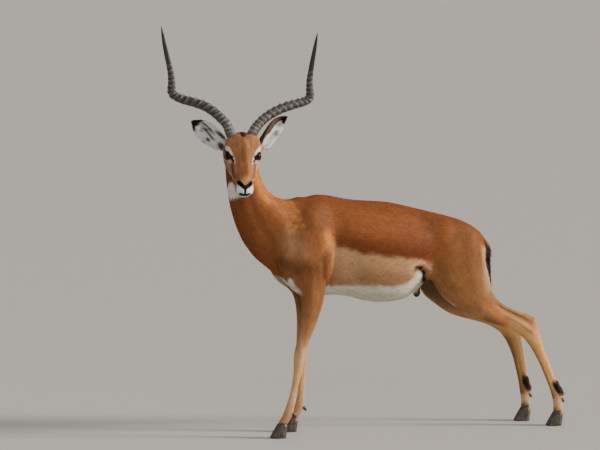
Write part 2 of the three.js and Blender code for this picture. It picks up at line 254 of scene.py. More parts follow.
split_where(on_face)
split_where(at_eyes_or_nose)
edit()
bpy.ops.mesh.quads_convert_to_tris()
leave()
points = places(skin.data)
pairs = pairs_of(skin.data)
points = relax(points, pairs, np.where(on_face(points), 0.4, 0.25)[:, None], 6)
settle(skin.data, points)
share = kind_shares(skin.data, 8)
trunk, neck, shoulder, thigh, head, gaskin, forearm, cannon, pastern, ear, tail, scrotum = share.T


def away(points, path):
    """Each point's distance from a line drawn through the places of the path."""
    path = np.array(path, float)
    nearest = np.linalg.norm(points - path[0], axis=1)
    for start, end in zip(path[:-1], path[1:]):
        run = end - start
        along = np.clip((points - start) @ run / (run @ run), 0, 1)
        nearest = np.minimum(nearest, np.linalg.norm(points - start - along[:, None] * run, axis=1))
    return nearest


def beside(points, path, reach):
    """1 on the path, fading to 0 as its reach is passed."""
    return np.exp(-(away(points, path) / reach) ** 2)


def raised(seen, strokes):
    """How far each point rises under soft strokes of (path, reach, height), in mm."""
    return sum(height * beside(seen, path, reach) for path, reach, height in strokes)


# The right legs stand back by a stride that fades towards the body
stride = {"fore": ([100, 665], [88, 0]),
          "hind": ([112, 188, 250, 305, 374, 432, 517, 600, 720],
                   [-72, -57, -45, -36, -30, -25, -20, -16, 0])}


def side_view(points):
    """Places as forward-back and up, with the right legs brought beside the left ones."""
    x, y, z = points.T
    fore = np.interp(z, *stride["fore"])
    hind = np.interp(z, *stride["hind"])
    return np.stack([x - np.where(y > 0, np.where(x < 300, fore, hind), 0), z], 1)


# Muscles, bones and folds of the body, as seen from the side: path, reach, height
body_strokes = [
    ([(30, 750), (37, 690), (36, 640), (27, 588)], 10, -6.0),  # the crease behind the upper arm
    ([(0, 760), (4, 710), (10, 650), (8, 615)], 20, 6.0),  # the triceps and the elbow
    ([(-18, 668), (-8, 628), (-14, 596)], 8, -3.5),
    ([(-60, 840), (-20, 790), (-5, 720)], 26, 3.0),  # the blade bone and its hollow
    ([(22, 862), (52, 800)], 20, -3.0),
    ([(-95, 705), (-88, 675)], 22, 5.0),  # the point of the shoulder
    ([(-128, 735), (-136, 660), (-112, 600)], 13, -3.5),
    ([(-46, 640), (-36, 600), (-34, 570)], 9, -2.5),
    ([(-62, 655), (-52, 600), (-60, 560)], 15, 2.8),
    ([(356, 618), (374, 612), (388, 600), (394, 584)], 9, -12.0),  # the hollow and the fold of the flank
    ([(330, 622), (352, 640), (382, 636), (408, 612), (424, 582)], 8, 4.5),
    ([(340, 640), (392, 660), (430, 700)], 26, -4.0),
    ([(455, 795), (480, 775)], 20, 5.0),  # the hip bone, and the hollow before it
    ([(400, 780), (410, 745)], 30, -5.0),
    ([(612, 735), (626, 660), (606, 590)], 11, -3.5),  # the parting at the back of the thigh
    ([(575, 720), (560, 640), (590, 560)], 28, 3.0),
    ([(500, 690), (470, 630)], 30, 3.0),
    ([(452, 580), (500, 560)], 16, 3.5),
    ([(668, 474), (714, 446), (770, 418), (812, 392)], 9, -8.0),  # the hollow before the great tendon
    ([(690, 472), (760, 440), (822, 412)], 5, 2.5),
    ([(700, 428), (760, 394), (822, 358)], 7, 3.0),
    ([(600, 470), (660, 430)], 12, 2.0),
    ([(808, 330), (838, 318)], 11, 2.0),
    ([(868, 240), (893, 180), (911, 140)], 4.5, -1.8),
    ([(-88, 290), (-103, 230), (-120, 160), (-134, 115)], 4.0, -1.6),
    ([(-96, 318), (-100, 288)], 9, 1.6),
    ([(-78, 420), (-88, 350)], 6, -1.5),
]
ribs = [([(120 + 38 * i, 800 - 6 * i), (150 + 38 * i, 700), (140 + 38 * i, 600)], 8, 0.7) for i in range(5)]
# Creases of the turned neck, where its nape meets the withers
neck_creases = [([(-176 + 17 * i, 872 - 3 * i), (-150 + 17 * i, 822), (-134 + 16 * i, 770)], 4.5, -1.7)
                for i in range(5)]
neck_strokes = [([(-296, 930), (-262, 820), (-200, 720)], 16, -3.5),
                ([(-250, 960), (-205, 850), (-130, 760)], 24, 3.0)]
# The same for the head, as forward, up and sideways of the point between the eyes
head_strokes = [
    ([(-30, 20, 56), (-6, 27, 55), (20, 22, 47)], 7, 3.5),  # the brow
    ([(-20, 10, 66), (-10, 8, 69)], 7, 4.5),  # the outer end of the upper lid
    ([(30, 4, 46), (58, -6, 42)], 6, -3.0),  # the pit before the eye
    ([(-45, -16, 68), (0, -26, 66), (50, -28, 54), (90, -26, 42)], 8, 2.8),  # the cheek bone
    ([(45, -52, 48), (80, -46, 42), (115, -40, 36)], 12, -3.5),
    ([(-25, -58, 58), (15, -62, 54)], 22, 3.0),
    ([(-58, -96, 30), (-66, -40, 62)], 10, -3.5),  # behind the jaw
    ([(60, 22, 16), (105, 17, 15)], 8, 1.2),
    ([(-60, 40, 0), (-18, 44, 0)], 9, 2.0),
    ([(-18, 40, 42), (-38, 36, 44)], 8, -3.0),
    ([(166, -38, 14), (150, -43, 27), (128, -46, 33), (104, -48, 35)], 2.2, -4.0),  # the mouth
    ([(150, -34, 27), (125, -36, 33)], 6, 1.6),
    ([(150, -55, 8)], 12, 2.5),
]
# And as seen from straight in front: how far to the side, and how far below the eyes
face_strokes = [
    ([(24, 98), (21, 105), (14, 113)], 3.0, -7.0),  # the nostril and its wing
    ([(31, 99), (28, 110), (20, 119)], 4.0, 2.6),
    ([(15, 98), (9, 108)], 4.0, 1.4),
    ([(0, 124), (0, 146)], 1.8, -2.6),
    ([(0, 147), (11, 146), (20, 143)], 2.2, -4.5),
    ([(8, 134), (13, 138)], 6.0, 2.2),
    ([(0, 156), (12, 155)], 6.0, 3.6),
    ([(25, -48), (27, -36), (24, -26)], 2.2, -1.6),  # creases of the forehead
    ([(19, -44), (20, -34)], 2.0, -0.9),
]

normals = outwards(skin.data)
lateral = np.clip(np.abs(normals[:, 1]) * 1.6, 0, 1)
of_body = np.clip(1 - neck - head - ear, 0, 1)
frontal = head * np.clip(normals @ (ahead * 0.9 + crown * 0.3) * 2, 0, 1)
from_side = side_view(points)
rise = raised(from_side, body_strokes) * lateral * of_body
rise += raised(from_side, ribs) * lateral * of_body
rise += raised(from_side, neck_creases) * lateral * (points[:, 2] > 740)
rise += raised(from_side, neck_strokes) * lateral * neck
head_side = skull_view(points)
head_side[:, 2] = np.abs(head_side[:, 2])
rise += raised(head_side, head_strokes) * head
rise += raised(face_view(points), face_strokes) * frontal
points = points + normals * rise[:, None]
# The breast is full where the neck runs into it, and the nape runs level into the withers
filled = 13 * beside(points, [(-208, 0, 690), (-200, 0, 640)], 30)
filled += 10 * beside(points, [(-150, 0, 850), (-112, 0, 858), (-84, 0, 872)], 26)
points = points + normals * filled[:, None]
# The point of the hock stands out behind
for side in (1, -1):
    point = np.array([828 - (33 if side > 0 else 0), 85 * side, 412])
    jut = 10 * np.exp(-((points - point) ** 2).sum(axis=1) / 17 ** 2)
    points = points + np.array([0.9, 0, 0.42]) * jut[:, None]
# The right thigh is fuller below, and its cannon deeper behind; the tail hangs close to the rump
below_thigh = beside(points, [(425, 70, 492), (491, 75, 440), (560, 80, 420), (680, 84, 382)], 36)
fuller = np.interp(points[:, 0], [520, 690], [15, 0]) * below_thigh * np.clip(-normals @ [0.45, 0, 0.9], 0, 1)
points = points + normals * fuller[:, None]
deeper = np.interp(points[:, 2], [150, 190, 250, 330, 380], [0, 5, 9, 13, 0])
deeper = deeper * beside(points, [(820, 85, 325), (835, 85, 250), (850, 85, 180)], 24)
points[:, 0] += deeper * np.clip(normals[:, 0], 0, 1)
points[:, 0] -= np.interp(points[:, 2], [560, 690], [0, 6]) * tail
breast = np.interp(points[:, 2], [588, 612, 638, 668, 700, 730], [0, 11, 22, 21, 8, 0])
points[:, 0] -= breast * np.exp(-(points[:, 1] / 62) ** 2) * np.interp(points[:, 0], [-150, -100], [1, 0])
at_breast = beside(points * [1, 0.5, 1], [(-230, 0, 690), (-210, 0, 640), (-180, 0, 600)], 32)
points = relax(points, pairs, 0.5 * at_breast[:, None], 50)
# The forehead swells up round the roots of the horns
from_level = (points - eye_middle) @ level.T
from_level[:, 2] = np.abs(from_level[:, 2])
swell = head * np.maximum(24 * beside(from_level, [(-2, 52, 18), (-6, 52, 36), (-18, 46, 56)], 20),
                          19 * beside(from_level, [(0, 54, 0), (4, 40, 0)], 24))
points = points + (crown * 0.93 + ahead * 0.36) * swell[:, None]
dome = head * np.exp(-(np.linalg.norm(from_level - [0, 58, 10], axis=1) / 36) ** 2)
points = relax(points, pairs, 0.5 * dome[:, None], 60)

# Lids: the skin stands over the rim of each eye and passes behind it within the slit
eye_radius = 17.3
eye_seat = np.array([2, 2, 50.5])
eye_looks = np.array([0.48, 0.39, 0.78])
slit_runs = np.array([0.76, 0.24, -0.60])
slit_half, slit_height = math.radians(62), math.radians(41)
lid_profile = ([0, 0.9, 1.0, 1.16], [-3.0, -3.0, 1.0, 2.4])  # mm over the eye, outwards from the slit
around_eye = np.full(len(points), 9.0)  # 1 at the slit's edge


def unit(way):
    return way / np.linalg.norm(way, axis=-1, keepdims=True)


def eye_axes(side):
    """Where the right or left eye sits, where it looks, and how its slit runs and opens."""
    mirror = np.array([1, 1, side])
    looks = unit(eye_looks * mirror)
    runs = slit_runs * mirror
    runs = unit(runs - looks * (runs @ looks))
    return eye_seat * mirror, looks, runs, np.cross(looks, runs)


for side in (1, -1):
    seat, looks, runs, across = eye_axes(side)
    spoke = skull_view(points) - seat
    radius = np.linalg.norm(spoke, axis=1)
    spoke = spoke / radius[:, None]
    run_angle = np.arctan2(spoke @ runs, spoke @ looks)
    cross_angle = np.arcsin(np.clip(spoke @ across, -1, 1))
    along_slit = run_angle / slit_half
    ratio = np.hypot(along_slit, cross_angle / (slit_height * (1 - 0.35 * np.clip(along_slit, -1, 1) ** 2)))
    near = (radius < 34) & (spoke @ looks > -0.35)
    ratio = np.where(near, ratio, 9.0)
    around_eye = np.minimum(around_eye, ratio)
    lid = eye_radius + np.interp(ratio, *lid_profile)
    fade = np.clip((1.9 - ratio) / 0.7, 0, 1)
    target = np.where(ratio < 1.16, lid, radius + (lid - radius) * fade)
    moved = eye_middle + (seat + spoke * target[:, None]) @ skull
    points = np.where((ratio < 1.9)[:, None], moved, points)
settle(skin.data, points)
pairs = pairs_of(skin.data)
settled = relax(points, pairs, np.where(around_eye < 2.2, 0.12, 0.25)[:, None], 2)
points = np.where((around_eye < 1.0)[:, None], points, settled)
settle(skin.data, points)
points = places(skin.data)
normals = outwards(skin.data)
out_x, out_y, out_z = normals.T


def srgb(red, green, blue):
    """A colour as the eye reads it, 0 to 255, in the linear values that light is reckoned in."""
    return np.array([c / 3294.6 if c < 10 else ((c / 255 + 0.055) / 1.055) ** 2.4
                     for c in (red, green, blue)])


def edge(values, start, end):
    """Rises smoothly from 0 at start to 1 at end."""
    share = np.clip((values - start) / (end - start), 0, 1)
    return share * share * (3 - 2 * share)


def wander(points, length, seed):
    """A slow irregular wave over space, about -1 to 1, for uneven borders and tints."""
    chance = np.random.default_rng(seed)
    waves = chance.normal(size=(7, 3))
    waves = waves / np.linalg.norm(waves, axis=1)[:, None] * chance.uniform(0.6, 1.7, (7, 1))
    turns = chance.uniform(0, 2 * math.pi, 7)
    return np.sin(points @ waves.T * (2 * math.pi / length) + turns).sum(axis=1) / 2.6


def blend_by_height(heights, stops):
    """A colour that changes with height, from stops of (height, colour)."""
    levels, tints = zip(*stops)
    channels = np.array([srgb(*tint) for tint in tints]).T
    return np.stack([np.interp(heights, levels, channel) for channel in channels], 1)


# The markings: rufous above, tan flanks, white belly, and the black and white of the face and rump, with
# painted light and shade laid over them.
# Borders and tints are given in mm along the side, up from the ground, or over the face.
saddle_rufous, saddle_dark = (146, 84, 44), (98, 44, 14)
tan, white, cream, black, sooty = (180, 138, 98), (216, 210, 190), (206, 176, 130), (20, 15, 11), (46, 36, 26)
foreleg_tints = [(48, (178, 132, 92)), (100, (208, 164, 118)), (215, (216, 170, 118)), (304, (218, 172, 122)),
                 (400, (168, 122, 78)), (500, (146, 98, 60)), (560, (140, 92, 56)), (660, (134, 82, 46))]
hindleg_tints = [(48, (178, 132, 92)), (112, (210, 158, 104)), (250, (228, 170, 102)), (374, (212, 160, 106)),
                 (470, (156, 108, 68)), (560, (148, 100, 60)), (660, (140, 88, 50))]
x, y, z = points.T
from_side = side_view(points)
side_x = from_side[:, 0]
ripple = wander(points, 60, 3)
fine = wander(points, 19, 4)
inner = -out_y * np.where(y > 0, 1, -1)  # 1 where a leg faces the other

coat = np.zeros((len(points), 3))
for part, tint in [(trunk, saddle_rufous), (neck, (148, 88, 48)), (head, (170, 114, 74)),
                   (ear, (150, 124, 98)), (tail, black), (scrotum, sooty)]:
    coat += part[:, None] * srgb(*tint)
fore = shoulder + forearm
hind = thigh + gaskin
lower = cannon + pastern
coat += (fore + lower * (x < 300))[:, None] * blend_by_height(z + 10 * ripple, foreleg_tints)
coat += (hind + lower * (x >= 300))[:, None] * blend_by_height(z + 10 * ripple, hindleg_tints)


def lay(colours, mask):
    """Lays colours over the coat as far as the mask goes, 0 to 1."""
    global coat
    coat = coat + (colours - coat) * np.clip(mask, 0, 1)[:, None]


def paint(tint, mask):
    lay(srgb(*tint), mask)


def over(line):
    """How far each point is above a line along the side, in mm."""
    return z - np.interp(side_x, *np.array(line, float).T)


of_torso = trunk + shoulder + thigh
lay(blend_by_height(z, foreleg_tints), trunk * edge(side_x, 40, 20) * edge(z, 770, 700)
    * edge(np.abs(y), 40, 70))
saddle_line = [(-40, 775), (25, 722), (84, 698), (154, 680), (277, 666), (347, 657), (420, 638)]
belly_line = [(-250, 560), (-60, 520), (-11, 534), (20, 568), (74, 566), (134, 567), (210, 560), (285, 557),
              (325, 574), (346, 604), (372, 606), (386, 560), (400, 440)]
along_flank = edge(side_x, 26, 44) * edge(side_x, 440, 350)
saddle = over(saddle_line) + 3 * ripple + 1.2 * fine
paint(saddle_dark, 0.9 * of_torso * along_flank * edge(saddle, -12, 6) * edge(saddle, 105, 15))
paint(tan, of_torso * along_flank * edge(saddle, 10, -10))
paint((140, 100, 72), 0.5 * of_torso * along_flank * edge(saddle, -30, -80))
belly = over(belly_line) + 2 * ripple + 1.5 * fine
under = trunk * edge(side_x, -70, 10) * edge(side_x, 402, 388)
paint(white, under * edge(belly, 5, -8))
paint(white, (trunk + neck) * edge(out_z, -0.55, -0.8) * edge(z, 700, 600)
      * edge(belly, 22, 8) * edge(side_x, 402, 388))
off_middle = edge(np.abs(y), 30, 50)
# The fold of the flank before the thigh: painted shade in its hollow, and a painted highlight along the rim
# above it
fold = away(from_side, [(347, 621), (368, 618), (384, 603), (392, 560)])
paint((26, 15, 8), of_torso * edge(fold + fine, 14, 8) * off_middle)
paint((206, 168, 132), 0.7 * of_torso * edge(np.abs(fold - 23), 8, 3) * edge(z, 594, 606) * off_middle)
brisket = away(points * [1, 0.7, 1], [(-150, 0, 580), (-134, 0, 560), (-108, 0, 536), (-40, 0, 520)])
paint(white, (1 - forearm) * edge(brisket + 3 * ripple + 2 * fine, 30, 21))
before_arm = away(np.stack([x, z], 1), [(-140, 588), (-124, 563), (-106, 540)]) + 3 * ripple + 2 * fine
paint(white, (1 - forearm) * edge(before_arm, 14, 8) * edge(np.abs(y), 34, 46))
# Painted shade on the inner sides of the forelegs, and on the inner thighs, growing darker upwards under the
# belly
paint((120, 84, 54), 0.6 * (shoulder + forearm) * edge(inner, 0.3, 0.7) * edge(z, 420, 500))
lay(blend_by_height(z, [(440, (146, 114, 80)), (510, (104, 78, 52))]),
    (thigh + gaskin + trunk * (x > 400)) * edge(inner, 0.25, 0.65) * edge(z, 400, 480))
# A painted highlight along the front edge of the thigh
thigh_rim_highlight = away(from_side, [(400, 586), (425, 541), (463, 503), (512, 470)]) + fine
paint((214, 180, 146), 0.6 * thigh * edge(thigh_rim_highlight, 8, 3) * edge(inner, 0.5, 0.2))
rump = thigh + trunk
paint(cream, 0.85 * rump * edge(side_x, 606, 634) * edge(z, 470, 570) * edge(z, 712, 690))
# The black stripe on each buttock and the dark croup
for side in (1, -1):
    stripe = away(points * [0.25, 1, 0.3], [(160, 74 * side, 160), (164, 56 * side, 186),
                                            (165, 38 * side, 208)])
    paint(black, edge(side_x, 618, 640) * edge(stripe + 1.5 * fine, 13, 7) * rump)
paint((100, 50, 24), 0.6 * trunk * edge(np.abs(y), 16, 4) * edge(side_x, 100, 420) * edge(out_z, 0.3, 0.7))

# Legs: dark glands above the hind fetlocks and a paler ring below, with painted shade on the inner and front
# sides of the hind cannons and a painted highlight on their outer back
hind_lower = lower * (x > 300)
gland = away(np.stack([side_x + np.where(inner > 0, 3 * inner, 0), z], 1), [(930, 138), (916, 163)])
paint((132, 92, 56), 0.75 * hind_lower * edge(inner, 0, 0.5) * edge(z, 400, 360))
paint((120, 80, 46), 0.6 * hind_lower * edge(out_x, -0.3, -0.8))
paint((250, 176, 96), 0.8 * hind_lower * edge(out_x, -0.1, 0.7) * edge(z, 150, 190) * edge(inner, 0.4, 0))
paint(black, edge(gland, 17, 14) * lower)
paint((226, 190, 148), 0.8 * hind_lower * edge(z, 112, 100) * edge(z, 66, 78))
paint((112, 96, 82), 0.8 * pastern * edge(z, 64, 54))

# Tail: black from its root, white on the side that lies against the rump
on_tail = (np.maximum(tail, edge(x, 640, 648) * edge(np.abs(y), 38, 30) * edge(z, 400, 420))
           * edge(z, 708, 698))
paint((24, 14, 6), on_tail)
paint(white, tail * edge(out_x + 0.15 * fine, -0.3, -0.65))

# Painted light and shade of the shoulder, flank, thigh, hock and neck, where the key light catches the
# muscles or misses their creases and hollows: path, reach, tint, strength
tones = [
    ([(6, 754), (8, 726)], 25, (224, 146, 76), 0.85),
    ([(24, 700), (27, 640), (22, 600)], 7, (188, 120, 66), 0.6),
    ([(-142, 752), (-128, 704)], 36, (184, 136, 98), 0.7),
    ([(-170, 660), (-110, 632), (-50, 642)], 24, (90, 54, 28), 0.6),
    ([(-4, 648), (-8, 622), (-2, 600)], 11, (78, 40, 16), 0.6),
    ([(-46, 640), (-42, 604)], 8, (88, 50, 26), 0.4),
    ([(378, 790), (380, 730), (372, 680)], 14, (96, 52, 26), 0.5),
    ([(60, 830), (64, 770)], 26, (112, 62, 32), 0.4),
    ([(408, 790), (428, 744), (416, 684)], 36, (94, 50, 22), 0.65),
    ([(310, 770), (330, 740)], 40, (120, 66, 34), 0.4),
    ([(476, 572), (500, 556)], 24, (118, 78, 46), 0.15),
    ([(66, 655), (92, 615)], 36, (208, 164, 124), 0.45),
    ([(500, 506), (548, 480)], 24, (160, 112, 72), 0.5),
    ([(628, 420), (690, 396)], 15, (92, 56, 30), 0.65),
    ([(622, 474), (668, 440), (709, 398)], 15, (206, 120, 54), 0.65),
    ([(706, 444), (770, 416), (806, 396)], 8, (150, 108, 72), 0.6),
    ([(684, 465), (730, 442), (790, 414)], 4, (96, 58, 30), 0.7),
    ([(702, 430), (760, 398), (812, 364)], 4, (92, 54, 28), 0.65),
    ([(520, 700), (500, 650)], 30, (152, 100, 60), 0.5),
    ([(-262, 1010), (-246, 940), (-222, 892)], 17, (230, 142, 60), 0.6),
    ([(-46, 540), (-54, 470)], 15, (196, 132, 76), 0.5),
]
# Painted highlights along the ridges between the creases of the neck
tones += [([(-190 + 16 * i, 888), (-160 + 16 * i, 826), (-140 + 15 * i, 776)], 3.2, (214, 142, 78),
           0.5) for i in range(5)]
for path, reach, tint, strength in tones:
    tone = away(from_side, path) + 0.12 * reach * ripple
    paint(tint, strength * np.exp(-(tone / reach) ** 2) * edge(-inner, 0.1, 0.5) * (1 - tail))

# Painted light high on the neck where it faces back towards the key lamp, and painted shade where the neck
# faces forward, away from it
paint((206, 130, 64), 0.55 * neck * edge(out_x, 0.0, 0.7) * edge(z, 840, 930))
paint((112, 60, 26), 0.5 * neck * edge(out_x, -0.1, -0.6))

# Head
d, h, w = skull_view(points).T
wide = np.abs(w)
folded = np.stack([d, h, wide], 1)
seen = face_view(points)
aside_face, below = seen.T
facing = np.clip(normals @ (ahead * 0.9 + crown * 0.3) * 2.5, 0, 1)
top = head * edge(normals @ out_of_face, 0.15, 0.6)
paint((104, 60, 34), 0.35 * trunk * edge(out_z, 0.4, 0.85))
paint((188, 130, 82), 0.5 * head * edge(normals @ crown, 0.2, 0.8) * edge(below, -20, -50))
paint((118, 72, 40), 0.42 * top * edge(wide + 2 * fine, 17, 2) * edge(below, -52, -30) * edge(below, 95, 78))
paint((112, 68, 40), 0.35 * top * edge(wide, 20, 8) * edge(below, 30, 55) * edge(below, 95, 80))
paint((190, 144, 100), 0.9 * head * facing * edge(wide, 30, 8) * edge(below, 66, 100))
front = head * facing
face_tones = [
    ([(31, 34), (30, 69)], 3.5, (188, 140, 98), 0.5),
    # Painted shade: a dark band down each side of the face below the eye
    ([(43, 36), (40, 60), (37, 84)], 5.5, (88, 46, 22), 0.75),
    ([(54, 34), (51, 62), (45, 90)], 6, (204, 178, 148), 0.6),
    ([(17, -52), (18, -34)], 9, (204, 148, 98), 0.5),
    ([(26, 70), (22, 92)], 6, (104, 64, 40), 0.3),
    # Painted shade in the two creases of the forehead
    ([(25, -50), (27, -38), (24, -26)], 2, (92, 54, 30), 0.6),
    ([(19, -46), (20, -34)], 1.8, (92, 54, 30), 0.5),
    ([(0, -8), (0, 22)], 10, (104, 62, 36), 0.45),
]
for path, reach, tint, strength in face_tones:
    paint(tint, strength * front * beside(seen, path, reach))
brow = away(seen, [(63, -32), (54, -16), (46, -3), (38, 13), (32, 31)]) + 0.8 * fine
brow_width = np.interp(below, [-32, -20, -5, 12, 32], [6, 8.5, 6.5, 4.2, 2])
paint((234, 226, 210), 0.95 * front * edge(below, -37, -26) * edge(brow, brow_width + 2.5, brow_width - 2.5))
paint((186, 170, 148), 0.85 * front * edge(away(seen, [(60, 16), (50, 25)]), 10.5, 5))
paint(white, head * edge(normals @ crown + 0.1 * ripple, -0.25, -0.5) * edge(d, -70, -40)
      * edge(wide, 50, 38))
throat = np.hypot((y + 13 - 0.16 * (x + 300)) / np.interp(z, [905, 930, 962], [42, 38, 16]), (z - 933) / 30)
throat = throat + 0.09 * ripple + 0.05 * fine
paint((240, 236, 226), neck * edge(throat, 1.16, 0.82) * edge(out_x, 0.2, -0.15))
muzzle = np.hypot(aside_face, (below - 128) * 0.95)
nose_line = np.interp(aside_face, [0, 25, 34], [122, 97, 93])
paint((236, 235, 233), head * facing * edge(muzzle + 1.2 * fine, 36, 29)
      * edge(below, nose_line - 5, nose_line))
paint((222, 218, 210), head * edge(d, 92, 108) * edge(h, -40, -47))
nostril = np.hypot((aside_face - 18.5 + 0.35 * (below - 106)) / 9.5, (below - 106.5) / 11.5)
nose = np.minimum(edge(nostril, 1.15, 0.92) + edge(away(seen, [(13, 112), (0, 122)]), 8.6, 6.6), 1)
philtrum_width = np.interp(below, [121, 132, 148], [6.4, 4.2, 3.2])
philtrum = edge(away(seen, [(0, 120), (0, 146)]), philtrum_width + 1.2, philtrum_width - 0.8)
lips = edge(away(seen, [(0, 147.5), (10, 146.5), (17, 143.5)]), 4.8, 3.2)
side_lips = away(folded, [(166, -38, 14), (150, -43, 27), (128, -46, 33), (106, -48, 35)])
black_nose = head * edge(d, 96, 106) * np.maximum(nose, np.maximum(philtrum, lips))
paint((9, 7, 6), black_nose)
paint((60, 48, 42), 0.8 * head * edge(side_lips, 2.6, 1.6))
lashes = away(folded, [(-22, 11, 68), (-10, 12, 70), (4, 16, 66)])
outer_lid = away(folded, [(-4, 3, 67), (-12, 4, 70), (-22, 9, 72)])
paint((12, 8, 6), np.maximum(edge(around_eye, 1.5, 1.36),
                             head * np.maximum(edge(lashes, 7, 4.5), edge(outer_lid, 11, 8))))
paint((26, 19, 15), front * edge(away(seen, [(41, 16), (36, 25)]), 3.8, 2.0))
bare = np.maximum(black_nose, edge(around_eye, 1.25, 1.15))
paint((36, 20, 12), 0.9 * head * edge(np.hypot(w - 2, below + 76), 13, 8))  # the dark crown between the horns

# Ears: pale within, with dark lines, brown behind, black at the tip
ears = {1: ((-62, 28, 60), (-52, 121, 190), (1, -0.12, 0.1)),
        -1: ((-62, 36, -60), (-80, 146, -166), (0.76, -0.4, -0.52))}
# Inside each ear: dark lines as (places at start and end, strength, run, width, tint), and spots as
# (run, place, size, tint)
ear_lines = {1: [((12, 12), 0.4, (0.26, 0.84), 13, (96, 92, 88)),
                 ((15, 19), 1.0, (0.34, 0.82), 4.5, (40, 38, 38)),
                 ((-7, 4), 0.95, (0.2, 0.72), 7.5, (66, 46, 42)),
                 ((25, 27), 0.9, (0.02, 0.42), 9, (58, 34, 18)),
                 ((-34, -38), 0.8, (0.34, 0.58), 4, (124, 74, 42))],
             -1: [((-8, -10), 0.4, (0.5, 0.9), 4, (110, 92, 80)),
                  ((-36, -40), 0.85, (0.28, 0.52), 4.5, (118, 72, 36)),
                  ((-20, -24), 0.4, (0.2, 0.6), 8, (104, 96, 86))]}
ear_spots = {1: [(0.06, -8, 11, (22, 16, 14)), (0.37, -22, 7.5, (28, 22, 20)),
                 (0.62, -10, 5, (150, 144, 140))],
             -1: [(0.08, -2, 8, (96, 76, 62)), (0.49, -28, 9, (142, 130, 116)),
                  (0.69, -16, 9, (172, 144, 124))]}
ear_up = np.zeros((len(points), 3))
ear_share, ear_inside = np.zeros(len(points)), np.zeros(len(points))
for side, (seat, tip, opens) in ears.items():
    base, end = eye_middle + np.array(seat) @ level, eye_middle + np.array(tip) @ level
    axis = unit(end - base)
    open_way = np.array(opens) @ level
    open_way = unit(open_way - axis * (open_way @ axis))
    cross_way = np.cross(axis, open_way)
    own = (w * side > 0) * ear
    reach = (points - base) @ axis / np.linalg.norm(end - base)
    across_ear = (points - base) @ cross_way
    inside = edge(normals @ open_way, -0.25, 0.25)
    ear_up = np.where((own > 0.2)[:, None], axis, ear_up)
    ear_share = np.where(own > 0.2, reach, ear_share)
    ear_inside = np.maximum(ear_inside, own * inside)
    paint((246, 244, 241), own * inside)
    rise = across_ear * np.sign(cross_way @ crown) + 1.5 * ripple  # towards the upper edge
    paint((196, 128, 78), 0.35 * own * edge(reach, 0.14, 0.0))
    for lane, strength, run, thick, tint in ear_lines[side]:
        line = np.abs(rise - np.interp(reach, run, lane)) + 0.8 * fine
        paint(tint, strength * own * inside * edge(line, thick, 0.35 * thick)
              * edge(reach, run[0], run[0] + 0.12) * edge(reach, run[1], run[1] - 0.14))
    for at, up, size, tint in ear_spots[side]:
        spot = np.hypot(rise - up, (reach - at) * 130)
        paint(tint, 0.9 * own * inside * edge(spot, 1.3 * size, 0.6 * size))
    paint(black, own * edge(reach + 0.03 * fine, 0.74, 0.82))
    if side < 0:  # the rolled front rim of the left ear shows its brown back
        rolled = rise - 8 * reach + 6
        paint((86, 50, 28), 0.95 * own * edge(rolled, -2, 3))
        paint((30, 18, 12), 0.9 * own * edge(np.abs(rolled), 5, 2.5) * edge(reach, 0.2, 0.4))
        paint(black, own * edge(reach, 0.86, 0.92))
    rim = edge(np.abs(normals @ open_way), 0.55, 0.2) * own
    paint((90, 66, 50), 0.6 * rim * edge(reach, 0.3, 0.6))

coat = coat * (1 + 0.05 * wander(points, 34, 9) + 0.04 * wander(points, 11, 10))[:, None]
coat = np.clip(coat, 0.001, 0.95)


def give_colours(mesh, name, colours):
    """Stores one colour for each point of the mesh."""
    layer = mesh.color_attributes.new(name, "FLOAT_COLOR", "POINT")
    opaque = np.concatenate([colours, np.ones((len(colours), 1))], 1)
    layer.data.foreach_set("color", opaque.astype(np.float32).ravel())


def give_values(mesh, name, values):
    layer = mesh.attributes.new(name, "FLOAT", "POINT")
    layer.data.foreach_set("value", values.astype(np.float32))


give_colours(skin.data, "coat", coat)
give_values(skin.data, "bare", np.clip(bare, 0, 1))


def plug(node, sockets):
    """Sets each socket to a value, or joins it to another node's output."""
    for socket, value in sockets.items():
        if isinstance(value, bpy.types.NodeSocket):
            node.id_data.links.new(value, node.inputs[socket])
        else:
            node.inputs[socket].default_value = value


def add(tree, kind, sockets=None, out=0, **settings):
    """Adds a shader node and gives back one of its outputs."""
    node = tree.nodes.new("ShaderNode" + kind)
    for setting, value in settings.items():
        setattr(node, setting, value)
    plug(node, sockets or {})
    return node.outputs[out]


def new_material(name):
    material = bpy.data.materials.new(name)
    material.use_nodes = True
    return material, material.node_tree, material.node_tree.nodes["Principled BSDF"]


# The lie and grain of short hair, as a tint and a height, used by the skin and the coat
hair_grain = bpy.data.node_groups.new("hair_grain", "ShaderNodeTree")
for label, way, kind in [("Place", "INPUT", "Vector"), ("Hair Size", "INPUT", "Float"),
                         ("Tint Depth", "INPUT", "Float"), ("Tint", "OUTPUT", "Float"),
                         ("Height", "OUTPUT", "Float")]:
    hair_grain.interface.new_socket(label, in_out=way, socket_type="NodeSocket" + kind)
given = hair_grain.nodes.new("NodeGroupInput").outputs
strands = add(hair_grain, "TexNoise", {"Vector": given["Place"], "Scale": given["Hair Size"], "Detail": 4,
                                       "Roughness": 0.65})
drifts = add(hair_grain, "TexNoise", {"Vector": given["Place"], "Scale": 38, "Detail": 3})
both = add(hair_grain, "Math", {0: strands, 1: drifts}, operation="ADD")
centred = add(hair_grain, "Math", {0: both, 1: 1.0}, operation="SUBTRACT")
tinted = add(hair_grain, "Math", {0: centred, 1: given["Tint Depth"], 2: 1.0}, operation="MULTIPLY_ADD")
plug(hair_grain.nodes.new("NodeGroupOutput"), {"Tint": tinted, "Height": strands})


